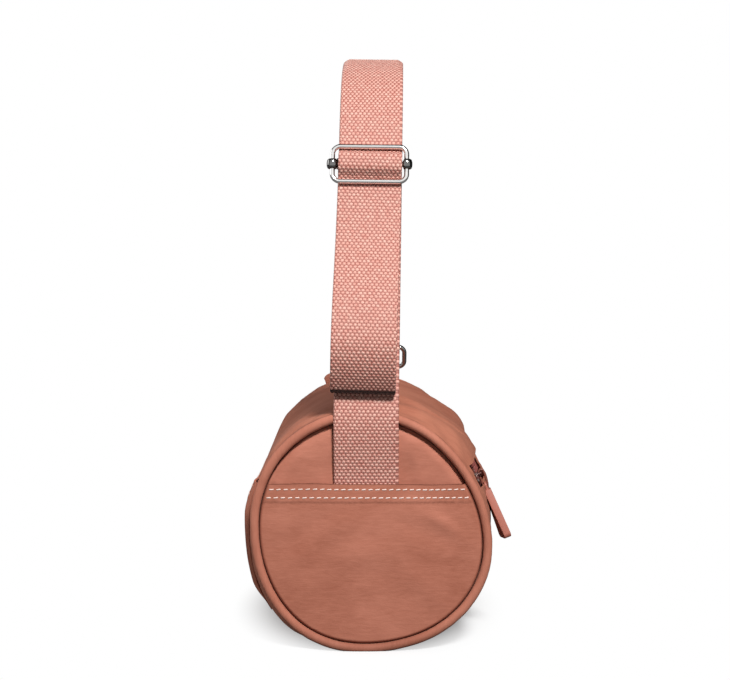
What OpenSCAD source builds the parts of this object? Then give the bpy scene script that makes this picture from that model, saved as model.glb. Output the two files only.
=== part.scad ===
// Small barrel crossbody bag: a padded fabric barrel with piped ends, slip pockets, a side zip
// and a webbing strap that stands over it. The barrel lies along Y, the zip is on the +X side,
// +Z is up, and the origin is the middle of the flat underside. All sizes are millimetres.

/* [Barrel] */
// Length over the two piped ends
bag_len = 240; // [200:1:280]
// Diameter over the piping
bag_d = 140; // [120:1:170]
// How far the bag's own weight flattens the underside
sit_depth = 1.2; // [0.8:0.1:1.6]
// Thickness of the outer fabric
shell_t = 1.2; // [0.9:0.1:1.6]
// Step from the crest of the piping down to the outer fabric
shell_step = 0.7; // [0.4:0.1:0.7]
// Thickness of the foam that keeps the barrel round
foam_t = 2; // [1:0.1:4]
// Thickness of the lining
lining_t = 0.6; // [0.4:0.1:1]
// Clearance between neighbouring layers
layer_gap = 0.3; // [0.2:0.05:0.4]

/* [Ends] */
// Diameter of the piping cord with its cover
piping_d = 5.2; // [4.6:0.1:6]
// How far the face of an end pocket lies behind the crest of the piping
end_recess = 0.6; // [0.6:0.1:1.2]
// Thickness of an end panel
panel_t = 1.2; // [0.8:0.1:2]
// Thickness of an end pocket's fabric
end_pocket_t = 1.2; // [0.8:0.1:1.6]
// Height of an end pocket's mouth above the barrel's axis
end_pocket_top = 28; // [10:1:40]
// Depth of the turned and double stitched hem of a pocket
hem_h = 11; // [6:0.5:16]
// Extra thickness of a turned hem
hem_t = 0.5; // [0.3:0.1:0.6]
// Width of the tape that binds the raw end seams inside
binding_w = 9; // [6:0.5:14]
// Thickness of the bound seam
binding_t = 2; // [1.4:0.1:3]

/* [Side pocket] */
// Distance from each end of the bag to the side pocket
side_pocket_margin = 20; // [12:1:50]
// Angle of the side pocket's mouth above the level of the axis
side_pocket_top = 22; // [10:1:40]
// Angle of the side pocket's bottom seam below the level of the axis
side_pocket_bottom = 40; // [25:1:50]
// How far the side pocket stands off the barrel
side_pocket_rise = 3.4; // [3:0.1:6]
// Thickness of the side pocket's fabric
side_pocket_t = 1.1; // [0.8:0.1:1.4]

/* [Zip] */
// Angle of the zip above the level of the axis
zip_angle = 26; // [15:1:40]
// Distance from each end of the bag to the zip opening
zip_margin = 14; // [12:0.5:30]
// Width of the zip opening between the two fabric edges
zip_gap = 13; // [12.5:0.1:16]
// Width of each zip tape
tape_w = 12; // [9:0.5:15]
// Thickness of the zip tapes
tape_t = 0.7; // [0.5:0.05:0.8]
// Length of tape beyond each end of the zip opening
tape_over = 3; // [2:0.5:4]
// Distance from one tooth to the next on the same tape
tooth_pitch = 2.8; // [2.6:0.1:3.2]
// Thickness of the teeth
tooth_t = 2.4; // [2:0.1:2.6]
// Distance from the middle of the chain to the root of a tooth
tooth_root = 3; // [2.8:0.1:3.2]
// How far a tooth reaches past the middle of the chain
tooth_lap = 1; // [0.8:0.1:1.2]
// Width of a tooth's head along the zip
tooth_head = 1.5; // [1.45:0.05:1.6]
// Clearance between a tooth and the two that it meshes with
tooth_gap = 0.12; // [0.08:0.01:0.15]
// Length of each zip stop
stop_len = 3; // [2:0.5:4]

/* [Zip slider] */
// Length of the zip slider
runner_len = 13; // [11:0.5:15]
// Thickness of the zip slider's plates
runner_plate_t = 1.2; // [1:0.1:1.4]
// Clearance between the zip slider and the chain
runner_gap = 0.25; // [0.2:0.05:0.3]
// Width of the rails along the edges of the zip slider
rail_w = 1.1; // [0.9:0.1:1.3]
// Distance from the end of the zip opening to the middle of the closed zip slider
runner_rest = 12; // [11:0.5:16]
// Diameter of the bridge on the zip slider
bridge_d = 1.4; // [1.2:0.1:1.5]
// Length of the bridge between its posts
bridge_len = 5; // [4:0.5:6]
// Height of the bridge's centre above the zip slider's plate
bridge_rise = 3; // [2.9:0.1:3.4]

/* [Pull] */
// Gap between the hanging puller and the barrel
pull_gap = 1.1; // [0.9:0.05:1.2]
// Diameter of the pull link's wire
link_wire = 1.2; // [1:0.1:1.3]
// Radius of the link's round ends, to the middle of its wire
link_r = 1.5; // [1.45:0.05:1.7]
// Distance between the centres of the link's round ends
link_len = 7; // [6:0.5:9]
// Length of the puller below its eye
puller_len = 33; // [25:1:40]
// Thickness of the puller
puller_t = 4.4; // [3:0.1:5]
// Width of the puller at its top
puller_top_w = 6; // [5.5:0.5:8]
// Width of the puller at its bottom
puller_bottom_w = 12; // [8:0.5:16]
// Radius of the puller's bottom corners
puller_corner = 2.4; // [1:0.1:3.5]
// Thickness of the neck that carries the puller's eye
neck_t = 1.3; // [1:0.1:1.4]
// Width of the neck
neck_w = 4.6; // [4:0.1:5]
// Length of the neck from the eye to the thick part
neck_len = 2.4; // [2:0.1:3]
// Radius of the puller's eye
eye_r = 0.95; // [0.9:0.05:1]

/* [Strap] */
// Width of the webbing
webbing_w = 38; // [30:1:40]
// Thickness of the webbing
webbing_t = 2.2; // [1.6:0.1:2.4]
// How far each end of the strap sits to one side of the middle
strap_side = 2.6; // [0:0.1:5]
// Height of the strap's crown above the barrel's axis
strap_crown = 283; // [260:1:300]
// Height above the axis at which the strap starts to curve over
strap_straight = 220; // [215:1:226]
// Angle at which the legs of the strap lean towards each other
strap_lean = 13.2; // [10:0.1:15]
// Angle at which the strap leans to the zip side
strap_tilt = 0.6; // [0:0.1:2]
// Depth of the strap's sewn end below the pocket's mouth
strap_tuck = 50; // [30:1:60]

/* [Strap slider] */
// Height of the strap slider above the barrel's axis
slider_h = 213; // [190:1:214]
// Clear width inside the wire frame
frame_clear_w = 40.8; // [40.6:0.1:44]
// Height of the wire frame over its bars
frame_h = 24; // [23:0.5:28]
// Diameter of the frame's wire
frame_wire = 2.9; // [2.4:0.1:3.2]
// Outer radius of the frame's corners
frame_corner = 6; // [5:0.5:7]
// Diameter of the middle bar
bar_d = 2.6; // [2.2:0.1:3]
// Diameter of the wire of the eyes at the ends of the middle bar
eye_wire = 1.8; // [1.4:0.1:1.8]
// Length of the loose tail from the slider to its fold
tail_len = 134; // [110:1:136]
// How far the tail stands off the strap above its fold
tail_bow = 7.4; // [6.5:0.1:10]
// Length of the tail turned back behind the fold
tail_return = 38; // [25:1:60]
// Angle at which the tail swings out of line with the strap
tail_swing = 1.4; // [0:0.1:2]

/* [Far ring] */
// Clear width inside the ring at the strap's far end
ring_clear_w = 43; // [42.8:0.1:46]
// Height of the ring over its bars
ring_h = 18; // [17:0.5:22]
// Diameter of the ring's wire
ring_wire = 3.2; // [2.6:0.1:3.6]
// Outer radius of the ring's corners
ring_corner = 6; // [5:0.5:6]
// Height of the ring's middle above the top of the barrel
ring_rise = 13.5; // [13:0.5:16]
// Clearance between a bar and the webbing round it
bar_gap = 0.2; // [0.1:0.05:0.3]
// Length of the strap's end sewn back on itself above the ring
strap_return = 34; // [20:1:50]

/* [Side loop] */
// Width of the small fabric loop beside the far seam
loop_w = 14; // [8:0.5:20]
// How far the loop stands out from the barrel
loop_rise = 6; // [4.5:0.5:9]
// Thickness of the loop's fabric
loop_t = 1.6; // [1:0.1:2]
// Angle of the loop from the top of the barrel, away from the zip
loop_angle = 20; // [20:1:40]

/* [Hidden] */
$fn = 64;

// Longer than any cut that it makes
overrun = bag_len;

// Number of straight steps in each curve of the webbing
curve_steps = 10;

// Radii of the layers, from the piping inwards
bag_r = bag_d / 2;
axis_z = bag_r - sit_depth;
shell_r = bag_r - shell_step;
shell_in_r = shell_r - shell_t;
tape_r = shell_in_r - layer_gap;
tape_mid_r = tape_r - tape_t / 2;
foam_r = tape_r - tape_t - layer_gap;
lining_r = foam_r - foam_t - layer_gap;
lining_in_r = lining_r - lining_t;

// Places of the end layers along the barrel, from the middle of the bag outwards
end_y = bag_len / 2;
piping_r = piping_d / 2;
piping_ring_r = bag_r - piping_r;
end_disc_r = piping_ring_r - piping_r - layer_gap;
pocket_y = end_y - end_recess;
webbing_y = pocket_y - end_pocket_t - layer_gap - webbing_t / 2;
panel_y = webbing_y - webbing_t / 2 - layer_gap;
binding_y = panel_y - panel_t - layer_gap;
lining_y = binding_y - binding_t - layer_gap;
shell_y = end_y - piping_d - layer_gap;
binding_r = shell_in_r - layer_gap;

// The zip, measured across the chain from its middle
zip_len = bag_len - 2 * zip_margin;
tape_edge = tooth_root + tooth_gap;
tape_end_y = zip_len / 2 + tape_over;
tooth_neck = tooth_pitch - tooth_head - 2 * tooth_gap;
tooth_block = tooth_pitch - 4 * tooth_gap;
tooth_shoulder = tooth_lap + tooth_gap;
tooth_ridge = tooth_lap / 4;
tooth_nose = tooth_neck / 3;
runner_y = zip_len / 2 - runner_rest;
wedge_tip = runner_len / 6;
throat_len = runner_len / 4;
chain_start_y = -runner_y + wedge_tip + tooth_head / 2;
chain_end_y = zip_len / 2 - stop_len - layer_gap;
tooth_count = floor((chain_end_y - chain_start_y) / tooth_pitch);

// The zip slider
channel_r = tooth_t / 2 + runner_gap;
rail_in = tooth_root + runner_gap;
rail_out = rail_in + rail_w;
rail_reach = channel_r - tape_t / 2 - layer_gap;
runner_top_r = tape_mid_r + channel_r + runner_plate_t;
bridge_r = runner_top_r + bridge_rise;
wedge_half = tooth_lap;
shoulder_out = rail_out + runner_plate_t / 2;

// The pull hangs from the bridge and leans on the barrel
lean_r = shell_r + pull_gap + puller_t / 2;
pull_hang = zip_angle - acos(lean_r / bridge_r);
eye_drop = link_len + link_r;

// The strap's legs pass in front of the piping and lean in from there
foot_y = end_y + layer_gap + webbing_t / 2;
foot_h = bag_r;
strap_yaw = -asin(strap_side / foot_y);
function leg_y(h) = foot_y - (h - foot_h) * tan(strap_lean);

// How the strap curves over, as shares of its rise and of its half width where it starts to
crown_shares = [0.6, 0.52];

// Layers in front of the strap at the strap slider
ply_n = webbing_t + layer_gap;
bar_n = ply_n + webbing_t / 2 + layer_gap + frame_wire / 2;
over_n = bar_n + bar_d / 2 + 3 * layer_gap + webbing_t / 2;
frame_bar = frame_h / 2 - frame_wire / 2;
fold_r = webbing_t + 2 * layer_gap;

// Heights on the loose tail's way over the middle bar, as shares of the bars' height
rise_shares = [0.5, 0.64, 0.3];
fall_shares = [0.1, 0.5];

// Where the tail leaves the strap and stands furthest off it, as shares of the tail's length
bow_shares = [0.4, 0.5, 0.78];

// Bars of the ring at the far end, from the middle of the ring
ring_bar = ring_h / 2 - ring_wire / 2;
wrap_r = ring_wire / 2 + bar_gap + webbing_t / 2;
ring_h_mid = foot_h + ring_rise;

// A point on the cubic curve through a and d, with handles at b and c
function curve_point(a, b, c, d, t) =
    pow(1 - t, 3) * a + 3 * pow(1 - t, 2) * t * b + 3 * (1 - t) * t * t * c + pow(t, 3) * d;

// Points of a curve, without its first
function curve(a, b, c, d, steps) = [for (i = [1:steps]) curve_point(a, b, c, d, i / steps)];

// Points of an arc round a centre, both ends included
function arc(centre, r, from, to, steps) =
    [
        for (i = [0:steps])
            let (angle = from + (to - from) * i / steps)
            centre + r * [cos(angle), sin(angle)]
    ];

// Direction across a path at one of its points
function across(path, i) =
    let (
        before = path[max(i - 1, 0)],
        after = path[min(i + 1, len(path) - 1)],
        along = (after - before) / norm(after - before)
    )
    [-along[1], along[0]];

// Outline of a ribbon whose middle follows a path
function ribbon(path, thickness) =
    concat(
        [for (i = [0:len(path) - 1]) path[i] + across(path, i) * thickness / 2],
        [for (i = [len(path) - 1:-1:0]) path[i] - across(path, i) * thickness / 2]
    );

// A length of webbing whose middle follows a path of [y, height] points
module webbing(path) {
    rotate([90, 0, 90])
        linear_extrude(webbing_w, center = true)
            polygon(ribbon(path, webbing_t));
}

// Places what is drawn round the barrel's axis
module on_axis() {
    translate([0, 0, axis_z])
        children();
}

// A solid barrel round the axis
module barrel(r, length) {
    rotate([90, 0, 0])
        cylinder(h = length, r = r, center = true, $fn = 128);
}

// A disc across the axis, its outer face at face_y
module end_disc(r, face_y, thickness) {
    rotate([90, 0, 0])
        translate([0, 0, face_y - thickness])
            cylinder(h = thickness, r = r, $fn = 128);
}

// Part of a tube round the axis, between two angles above +X
module sector(r_out, r_in, from, to, length) {
    rotate([90, 0, 0])
        rotate([0, 0, from])
            rotate_extrude(angle = to - from, $fn = 128)
                translate([r_in, -length / 2])
                    square([r_out - r_in, length]);
}

// The local frame of the zip: X outwards, Y along it, Z across it
module at_zip() {
    on_axis()
        rotate([0, -zip_angle, 0])
            children();
}

// The opening that the zip closes, cut through every layer
module zip_opening(width) {
    rotate([0, -zip_angle, 0])
        translate([0, -zip_len / 2, -width / 2])
            cube([bag_r, zip_len, width]);
}

// What lies under the floor
module below_floor() {
    translate([-overrun, -overrun, -2 * overrun])
        cube([2 * overrun, 2 * overrun, 2 * overrun]);
}

// Turned half round, to the other end and the other side
module far_side() {
    rotate([0, 0, 180])
        children();
}

// The body fabric: one barrel wall with the zip's opening
module shell() {
    color("#b0705c")
        difference() {
            on_axis()
                difference() {
                    barrel(shell_r, 2 * shell_y);
                    barrel(shell_in_r, 2 * end_y);
                    zip_opening(zip_gap);
                }
            below_floor();
        }
}

// The foam between the fabric and the lining
module foam_wrap() {
    color("#e8e2d6")
        on_axis()
            difference() {
                barrel(foam_r, 2 * lining_y);
                barrel(lining_r + layer_gap, 2 * end_y);
                zip_opening(2 * rail_out + zip_gap / 2);
            }
}

// The inner bag, closed at both ends and open at the zip
module lining() {
    color("#8d5a4a")
        on_axis()
            difference() {
                barrel(lining_r, 2 * lining_y);
                barrel(lining_in_r, 2 * lining_y - 2 * lining_t);
                zip_opening(2 * rail_out + zip_gap / 2);
            }
}

module end_panel() {
    color("#b97a66")
        on_axis()
            end_disc(end_disc_r, panel_y, panel_t);
}

module end_foam() {
    color("#e8e2d6")
        on_axis()
            end_disc(binding_r - binding_w - layer_gap, binding_y, binding_t);
}

// The bound seam that joins the wall to the end panel, inside the piping
module seam_binding() {
    color("#7c4c40")
        on_axis()
            difference() {
                end_disc(binding_r, binding_y, binding_t);
                end_disc(binding_r - binding_w, end_y, end_y);
            }
}

// The fabric covered cord in the end seam, flattened where the bag sits
module piping() {
    color("#b97a66")
        difference() {
            on_axis()
                rotate([90, 0, 0])
                    translate([0, 0, end_y - piping_r])
                        rotate_extrude($fn = 128)
                            translate([piping_ring_r, 0])
                                circle(r = piping_r, $fn = 48);
            below_floor();
        }
}

// The slip pocket on an end, with a thicker turned hem
module end_pocket() {
    color("#b0705c")
        on_axis()
            union() {
                pocket_slice(end_disc_r, pocket_y, end_pocket_t, -bag_r, end_pocket_top);
                pocket_slice(end_disc_r, pocket_y + hem_t, end_pocket_t + hem_t,
                    end_pocket_top - hem_h, end_pocket_top);
            }
}

// The part of an end disc between two heights
module pocket_slice(r, face_y, thickness, low, high) {
    intersection() {
        end_disc(r, face_y, thickness);
        translate([-bag_r, -2 * end_y, low])
            cube([bag_d, 2 * end_y, high - low]);
    }
}

// The patch pocket on the side away from the zip, open at its upper edge
module side_pocket() {
    r_out = shell_r + layer_gap + side_pocket_rise;
    r_in = r_out - side_pocket_t;
    r_seat = shell_r + layer_gap;
    pocket_len = bag_len - 2 * side_pocket_margin;
    top = 180 - side_pocket_top;
    bottom = 180 + side_pocket_bottom;
    seam = side_pocket_t / r_out * 180 / PI;
    hem = hem_h / r_out * 180 / PI;
    color("#b0705c")
        on_axis()
            union() {
                difference() {
                    sector(r_out, r_seat, top, bottom, pocket_len);
                    sector(r_in, r_seat / 2, top - seam, bottom - seam, pocket_len - 2 * side_pocket_t);
                }
                sector(r_out + hem_t, r_in, top, top + hem, pocket_len);
            }
}

// One tape of the zip, on the side given by 1 or -1
module zip_tape(side) {
    near_angle = asin(tape_edge / tape_mid_r);
    far_angle = asin((tape_edge + tape_w) / tape_mid_r);
    from = side > 0 ? zip_angle + near_angle : zip_angle - far_angle;
    color("#7a3f3d")
        on_axis()
            sector(tape_r, tape_r - tape_t, from, from + far_angle - near_angle, 2 * tape_end_y);
}

// Outline of one tooth: a block at the root, a neck, and a head that locks behind its neighbours
module tooth_outline() {
    polygon([
        [tooth_root, -tooth_block / 2],
        [tooth_shoulder, -tooth_block / 2],
        [tooth_shoulder, -tooth_neck / 2],
        [tooth_ridge, -tooth_neck / 2],
        [-tooth_ridge, -tooth_head / 2],
        [-tooth_lap + tooth_ridge, -tooth_head / 2],
        [-tooth_lap, -tooth_nose],
        [-tooth_lap, tooth_nose],
        [-tooth_lap + tooth_ridge, tooth_head / 2],
        [-tooth_ridge, tooth_head / 2],
        [tooth_ridge, tooth_neck / 2],
        [tooth_shoulder, tooth_neck / 2],
        [tooth_shoulder, tooth_block / 2],
        [tooth_root, tooth_block / 2]
    ]);
}

// One row of moulded teeth, each held on the corded edge of its tape
module zip_teeth(side) {
    shift = side > 0 ? 0 : tooth_pitch / 2;
    color("#6d3735")
        at_zip()
            translate([tape_mid_r, 0, 0])
                mirror([0, 0, side > 0 ? 0 : 1])
                    union() {
                        for (i = [0:tooth_count - 1])
                            translate([tooth_t / 2, chain_start_y + shift + i * tooth_pitch, 0])
                                rotate([0, -90, 0])
                                    linear_extrude(tooth_t)
                                        tooth_outline();
                    }
}

// Stops that keep the zip slider on the chain at both ends
module zip_stops() {
    stop_out = tape_edge - layer_gap;
    stop_in = tooth_lap + layer_gap;
    color("#c9c6c2")
        at_zip()
            translate([tape_mid_r - tooth_t / 2, 0, 0])
                union() {
                    translate([0, zip_len / 2 - stop_len, -stop_out])
                        cube([tooth_t, stop_len, 2 * stop_out]);
                    translate([0, -zip_len / 2, stop_in])
                        cube([tooth_t, stop_len, stop_out - stop_in]);
                    translate([0, -zip_len / 2, -stop_out])
                        cube([tooth_t, stop_len, stop_out - stop_in]);
                }
}

// Outline of the zip slider's plates, seen from outside, with its two throats at the near end
module runner_outline() {
    half = runner_len / 2;
    notch = runner_plate_t;
    polygon([
        [-rail_out + notch, half],
        [-rail_out, half - notch],
        [-rail_out, 0],
        [-shoulder_out, -throat_len],
        [-shoulder_out, -half + notch],
        [-rail_in, -half],
        [-tooth_lap, -half],
        [0, -half + notch],
        [tooth_lap, -half],
        [rail_in, -half],
        [shoulder_out, -half + notch],
        [shoulder_out, -throat_len],
        [rail_out, 0],
        [rail_out, half - notch],
        [rail_out - notch, half]
    ]);
}

// The wedge that parts the two rows of teeth
module runner_wedge() {
    polygon([
        [0, -runner_len / 2 + runner_plate_t],
        [wedge_half, -wedge_tip],
        [0, wedge_tip - 2 * tooth_gap],
        [-wedge_half, -wedge_tip]
    ]);
}

// Extrudes an outline of [across, along] points outwards from the level given
module outwards(level, thickness) {
    translate([level + thickness, 0, 0])
        rotate([0, -90, 0])
            linear_extrude(thickness)
                children();
}

// The cast zip slider: two plates joined by the wedge, railed edges, and a bridge for the pull
module zip_slider() {
    bridge_x = channel_r + runner_plate_t + bridge_rise;
    color("#8a5548")
        at_zip()
            translate([tape_mid_r, -runner_y, 0])
                union() {
                    outwards(channel_r, runner_plate_t)
                        runner_outline();
                    outwards(-channel_r - runner_plate_t, runner_plate_t)
                        runner_outline();
                    outwards(-channel_r, 2 * channel_r)
                        runner_wedge();
                    for (side = [-1, 1], face = [-1, 1])
                        translate([
                            face > 0 ? channel_r - rail_reach : -channel_r,
                            -throat_len,
                            side > 0 ? rail_in : -rail_out
                        ])
                            cube([rail_reach, runner_len / 2 + throat_len - runner_plate_t, rail_w]);
                    translate([bridge_x, 0, 0])
                        rotate([90, 0, 0])
                            cylinder(h = bridge_len, r = bridge_d / 2, center = true);
                    for (end = [-1, 1])
                        translate([0, end * bridge_len / 2, 0]) {
                            translate([bridge_x, 0, 0])
                                sphere(r = bridge_d / 2);
                            translate([channel_r, 0, 0])
                                rotate([0, 90, 0])
                                    cylinder(h = bridge_x - channel_r, r = bridge_d / 2);
                        }
                }
}

// The local frame of the pull: origin on the bridge, -Z along the hanging pull
module at_pull() {
    at_zip()
        translate([bridge_r, -runner_y, 0])
            rotate([0, zip_angle - pull_hang, 0])
                children();
}

// A closed wire loop in the XZ plane, with round corners
module wire_loop(half_w, half_h, corner, wire) {
    for (side = [-1, 1]) {
        translate([0, 0, side * half_h])
            rotate([0, 90, 0])
                cylinder(h = 2 * (half_w - corner), r = wire / 2, center = true);
        translate([side * half_w, 0, 0])
            cylinder(h = 2 * (half_h - corner), r = wire / 2, center = true);
    }
    for (quarter = [0:3]) {
        right = quarter == 0 || quarter == 3 ? 1 : -1;
        up = quarter < 2 ? 1 : -1;
        translate([right * (half_w - corner), 0, up * (half_h - corner)])
            rotate([90, 0, 0])
                rotate([0, 0, 90 * quarter])
                    rotate_extrude(angle = 90)
                        translate([corner, 0])
                            circle(r = wire / 2, $fn = 32);
    }
}

// The wire link threaded on the bridge
module pull_link() {
    color("#8a5548")
        at_pull()
            union() {
                for (side = [-1, 1])
                    translate([side * link_r, 0, -link_len])
                        cylinder(h = link_len, r = link_wire / 2);
                for (end = [0, 1])
                    translate([0, 0, -end * link_len])
                        rotate([90, 0, 0])
                            rotate([0, 0, 180 * end])
                                rotate_extrude(angle = 180)
                                    translate([link_r, 0])
                                        circle(r = link_wire / 2, $fn = 32);
            }
}

// The moulded puller: a thin neck with an eye, and a thick tapered grip
module puller() {
    side_x = puller_bottom_w / 2;
    corner_x = side_x - puller_corner;
    corner_y = -puller_len + puller_corner;
    color("#a5604f")
        at_pull()
            translate([0, 0, -eye_drop])
                rotate([90, 0, 90])
                    difference() {
                        union() {
                            linear_extrude(neck_t, center = true) {
                                circle(d = neck_w);
                                translate([-neck_w / 2, -neck_len - puller_corner])
                                    square([neck_w, neck_len + puller_corner]);
                            }
                            linear_extrude(puller_t, center = true) {
                                polygon([
                                    [-puller_top_w / 2, -neck_len],
                                    [-side_x, corner_y],
                                    [-corner_x, -puller_len],
                                    [corner_x, -puller_len],
                                    [side_x, corner_y],
                                    [puller_top_w / 2, -neck_len]
                                ]);
                                for (side = [-1, 1])
                                    translate([side * corner_x, corner_y])
                                        circle(r = puller_corner);
                            }
                        }
                        cylinder(h = 2 * puller_t, r = eye_r, center = true);
                    }
}

// Turns the standing strap from one end of the barrel to the other
module strap_place() {
    translate([0, 0, axis_z + foot_h])
        rotate([0, strap_tilt, strap_yaw])
            translate([0, 0, -foot_h])
                children();
}

// The near end of the strap: sewn in behind the pocket, led out over the piping and in under
// the turned leg
module strap_foot() {
    step_h = sqrt(pow(piping_ring_r, 2) - pow(webbing_w / 2 + strap_side, 2)) - 2 * piping_r;
    translate([-strap_side, 0, axis_z])
        webbing([
            [-webbing_y, end_pocket_top - strap_tuck],
            [-webbing_y, end_pocket_top + webbing_t],
            [-foot_y, step_h],
            [-foot_y, foot_h - webbing_t],
            [2 * layer_gap - leg_y(foot_h + webbing_t), foot_h + webbing_t]
        ]);
}

// A point beside the far leg of the strap, given outwards and upwards from the ring's middle
function far_point(p) = [
    leg_y(ring_h_mid) + p[0] * cos(strap_lean) - p[1] * sin(strap_lean),
    ring_h_mid + p[0] * sin(strap_lean) + p[1] * cos(strap_lean)
];

// The strap from the near pocket over the crown to the ring, its end turned round the ring
module strap() {
    rise = (strap_crown - strap_straight) * crown_shares[0];
    run = leg_y(strap_straight) * crown_shares[1];
    half = curve(
        [-leg_y(strap_straight), strap_straight],
        [-leg_y(strap_straight + rise), strap_straight + rise],
        [-run, strap_crown],
        [0, strap_crown],
        curve_steps
    );
    other = [for (i = [len(half) - 2:-1:0]) [-half[i][0], half[i][1]]];
    turn = [for (p = arc([-wrap_r, ring_bar], wrap_r, 0, -180, curve_steps)) far_point(p)];
    back = [
        far_point([-webbing_t - layer_gap, ring_bar + 4 * wrap_r]),
        far_point([-webbing_t - layer_gap, ring_bar + strap_return])
    ];
    color("#d6968a")
        union() {
            strap_foot();
            strap_place()
                webbing(concat(
                    [[-leg_y(foot_h), foot_h], [-leg_y(strap_straight), strap_straight]],
                    half,
                    other,
                    [[leg_y(strap_straight), strap_straight]],
                    turn,
                    back
                ));
        }
}

// The local frame of the strap slider: Z up along the strap, -Y outwards
module at_slider() {
    strap_place()
        translate([0, -leg_y(slider_h), slider_h])
            rotate([-strap_lean, 0, 0])
                children();
}

// The wire frame of the strap slider
module slider_frame() {
    color("#c8c8cc")
        at_slider()
            translate([0, -bar_n, 0])
                wire_loop(
                    frame_clear_w / 2 + frame_wire / 2,
                    frame_bar,
                    frame_corner - frame_wire / 2,
                    frame_wire
                );
}

// The middle bar, its ends bent into eyes round the sides of the frame
module slider_bar() {
    eye_ring = frame_wire / 2 + layer_gap / 2 + eye_wire / 2;
    side_x = frame_clear_w / 2 + frame_wire / 2;
    color("#c8c8cc")
        at_slider()
            translate([0, -bar_n, 0])
                union() {
                    rotate([0, 90, 0])
                        cylinder(h = 2 * (side_x - eye_ring), r = bar_d / 2, center = true);
                    for (side = [-1, 1])
                        translate([side * side_x, 0, 0])
                            rotate_extrude()
                                translate([eye_ring, 0])
                                    circle(r = eye_wire / 2, $fn = 32);
                }
}

// The loose tail: over the middle bar, behind the lower bar, down to a soft fold and up again
module strap_tail() {
    fold_mid = [ply_n + fold_r, -tail_len + fold_r + webbing_t / 2];
    bow_n = ply_n + tail_bow;
    crest = [over_n, frame_bar * rise_shares[2]];
    brow = [over_n, -frame_bar * fall_shares[0]];
    under = [ply_n, -frame_bar];
    bow = [bow_n, -tail_len * bow_shares[2]];
    fold_top = fold_mid + [fold_r, 0];
    path = concat(
        [[ply_n, frame_h / 2], [ply_n, frame_bar]],
        curve(
            [ply_n, frame_bar],
            [ply_n, frame_bar * rise_shares[0]],
            [over_n, frame_bar * rise_shares[1]],
            crest,
            curve_steps
        ),
        [brow],
        curve(
            brow,
            [over_n, -frame_bar * fall_shares[1]],
            [ply_n, -frame_bar * fall_shares[1]],
            under,
            curve_steps
        ),
        curve(
            under,
            [ply_n, -tail_len * bow_shares[0]],
            [bow_n, -tail_len * bow_shares[1]],
            bow,
            curve_steps
        ),
        curve(bow, bow - [0, 2 * fold_r], fold_top + [0, 2 * fold_r], fold_top, curve_steps / 2),
        arc(fold_mid, fold_r, -180 / curve_steps, -180, curve_steps - 1),
        [[ply_n, -tail_len + tail_return]]
    );
    color("#d6968a")
        at_slider()
            rotate([0, tail_swing, 0])
                webbing([for (p = path) [-p[0], p[1]]]);
}

// The wire ring between the strap and the webbing tab at the far end
module far_ring() {
    color("#c8c8cc")
        strap_place()
            translate([0, leg_y(ring_h_mid), ring_h_mid])
                rotate([strap_lean, 0, 0])
                    translate([0, -wrap_r, 0])
                        wire_loop(
                            ring_clear_w / 2 + ring_wire / 2,
                            ring_bar,
                            ring_corner - ring_wire / 2,
                            ring_wire
                        );
}

// The webbing tab sewn in behind the far pocket and turned over the ring's lower bar
module far_strap_tab() {
    turn = [for (p = arc([-wrap_r, -ring_bar], wrap_r, 0, 180, curve_steps)) far_point(p)];
    color("#d6968a")
        union() {
            far_side()
                strap_foot();
            strap_place()
                webbing(concat(
                    [[leg_y(foot_h), foot_h]],
                    turn,
                    [far_point([-2 * wrap_r, -ring_bar - webbing_t])]
                ));
        }
}

// The small folded loop sewn on beside the far seam
module side_loop() {
    r = loop_rise / 2;
    color("#9c6250")
        on_axis()
            rotate([0, -loop_angle, 0])
                translate([0, shell_y - r, shell_r + layer_gap + r])
                    rotate([90, 0, 90])
                        linear_extrude(loop_w, center = true)
                            difference() {
                                union() {
                                    circle(r = r);
                                    translate([-r, -r])
                                        square([2 * r, r]);
                                }
                                circle(r = r - loop_t);
                            }
}

shell();
foam_wrap();
lining();
end_panel();  // near_end_panel
far_side() end_panel();  // far_end_panel
end_foam();  // near_end_foam
far_side() end_foam();  // far_end_foam
seam_binding();  // near_seam_binding
far_side() seam_binding();  // far_seam_binding
piping();  // near_piping
far_side() piping();  // far_piping
end_pocket();  // near_end_pocket
far_side() end_pocket();  // far_end_pocket
side_pocket();
zip_tape(1);  // zip_tape_upper
zip_tape(-1);  // zip_tape_lower
zip_teeth(1);  // zip_teeth_upper
zip_teeth(-1);  // zip_teeth_lower
zip_stops();
zip_slider();
pull_link();
puller();
strap();
slider_frame();
slider_bar();
strap_tail();
far_ring();
far_strap_tab();
side_loop();
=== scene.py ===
import contextlib
import math

import bpy
import numpy as np
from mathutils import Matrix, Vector, noise


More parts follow.
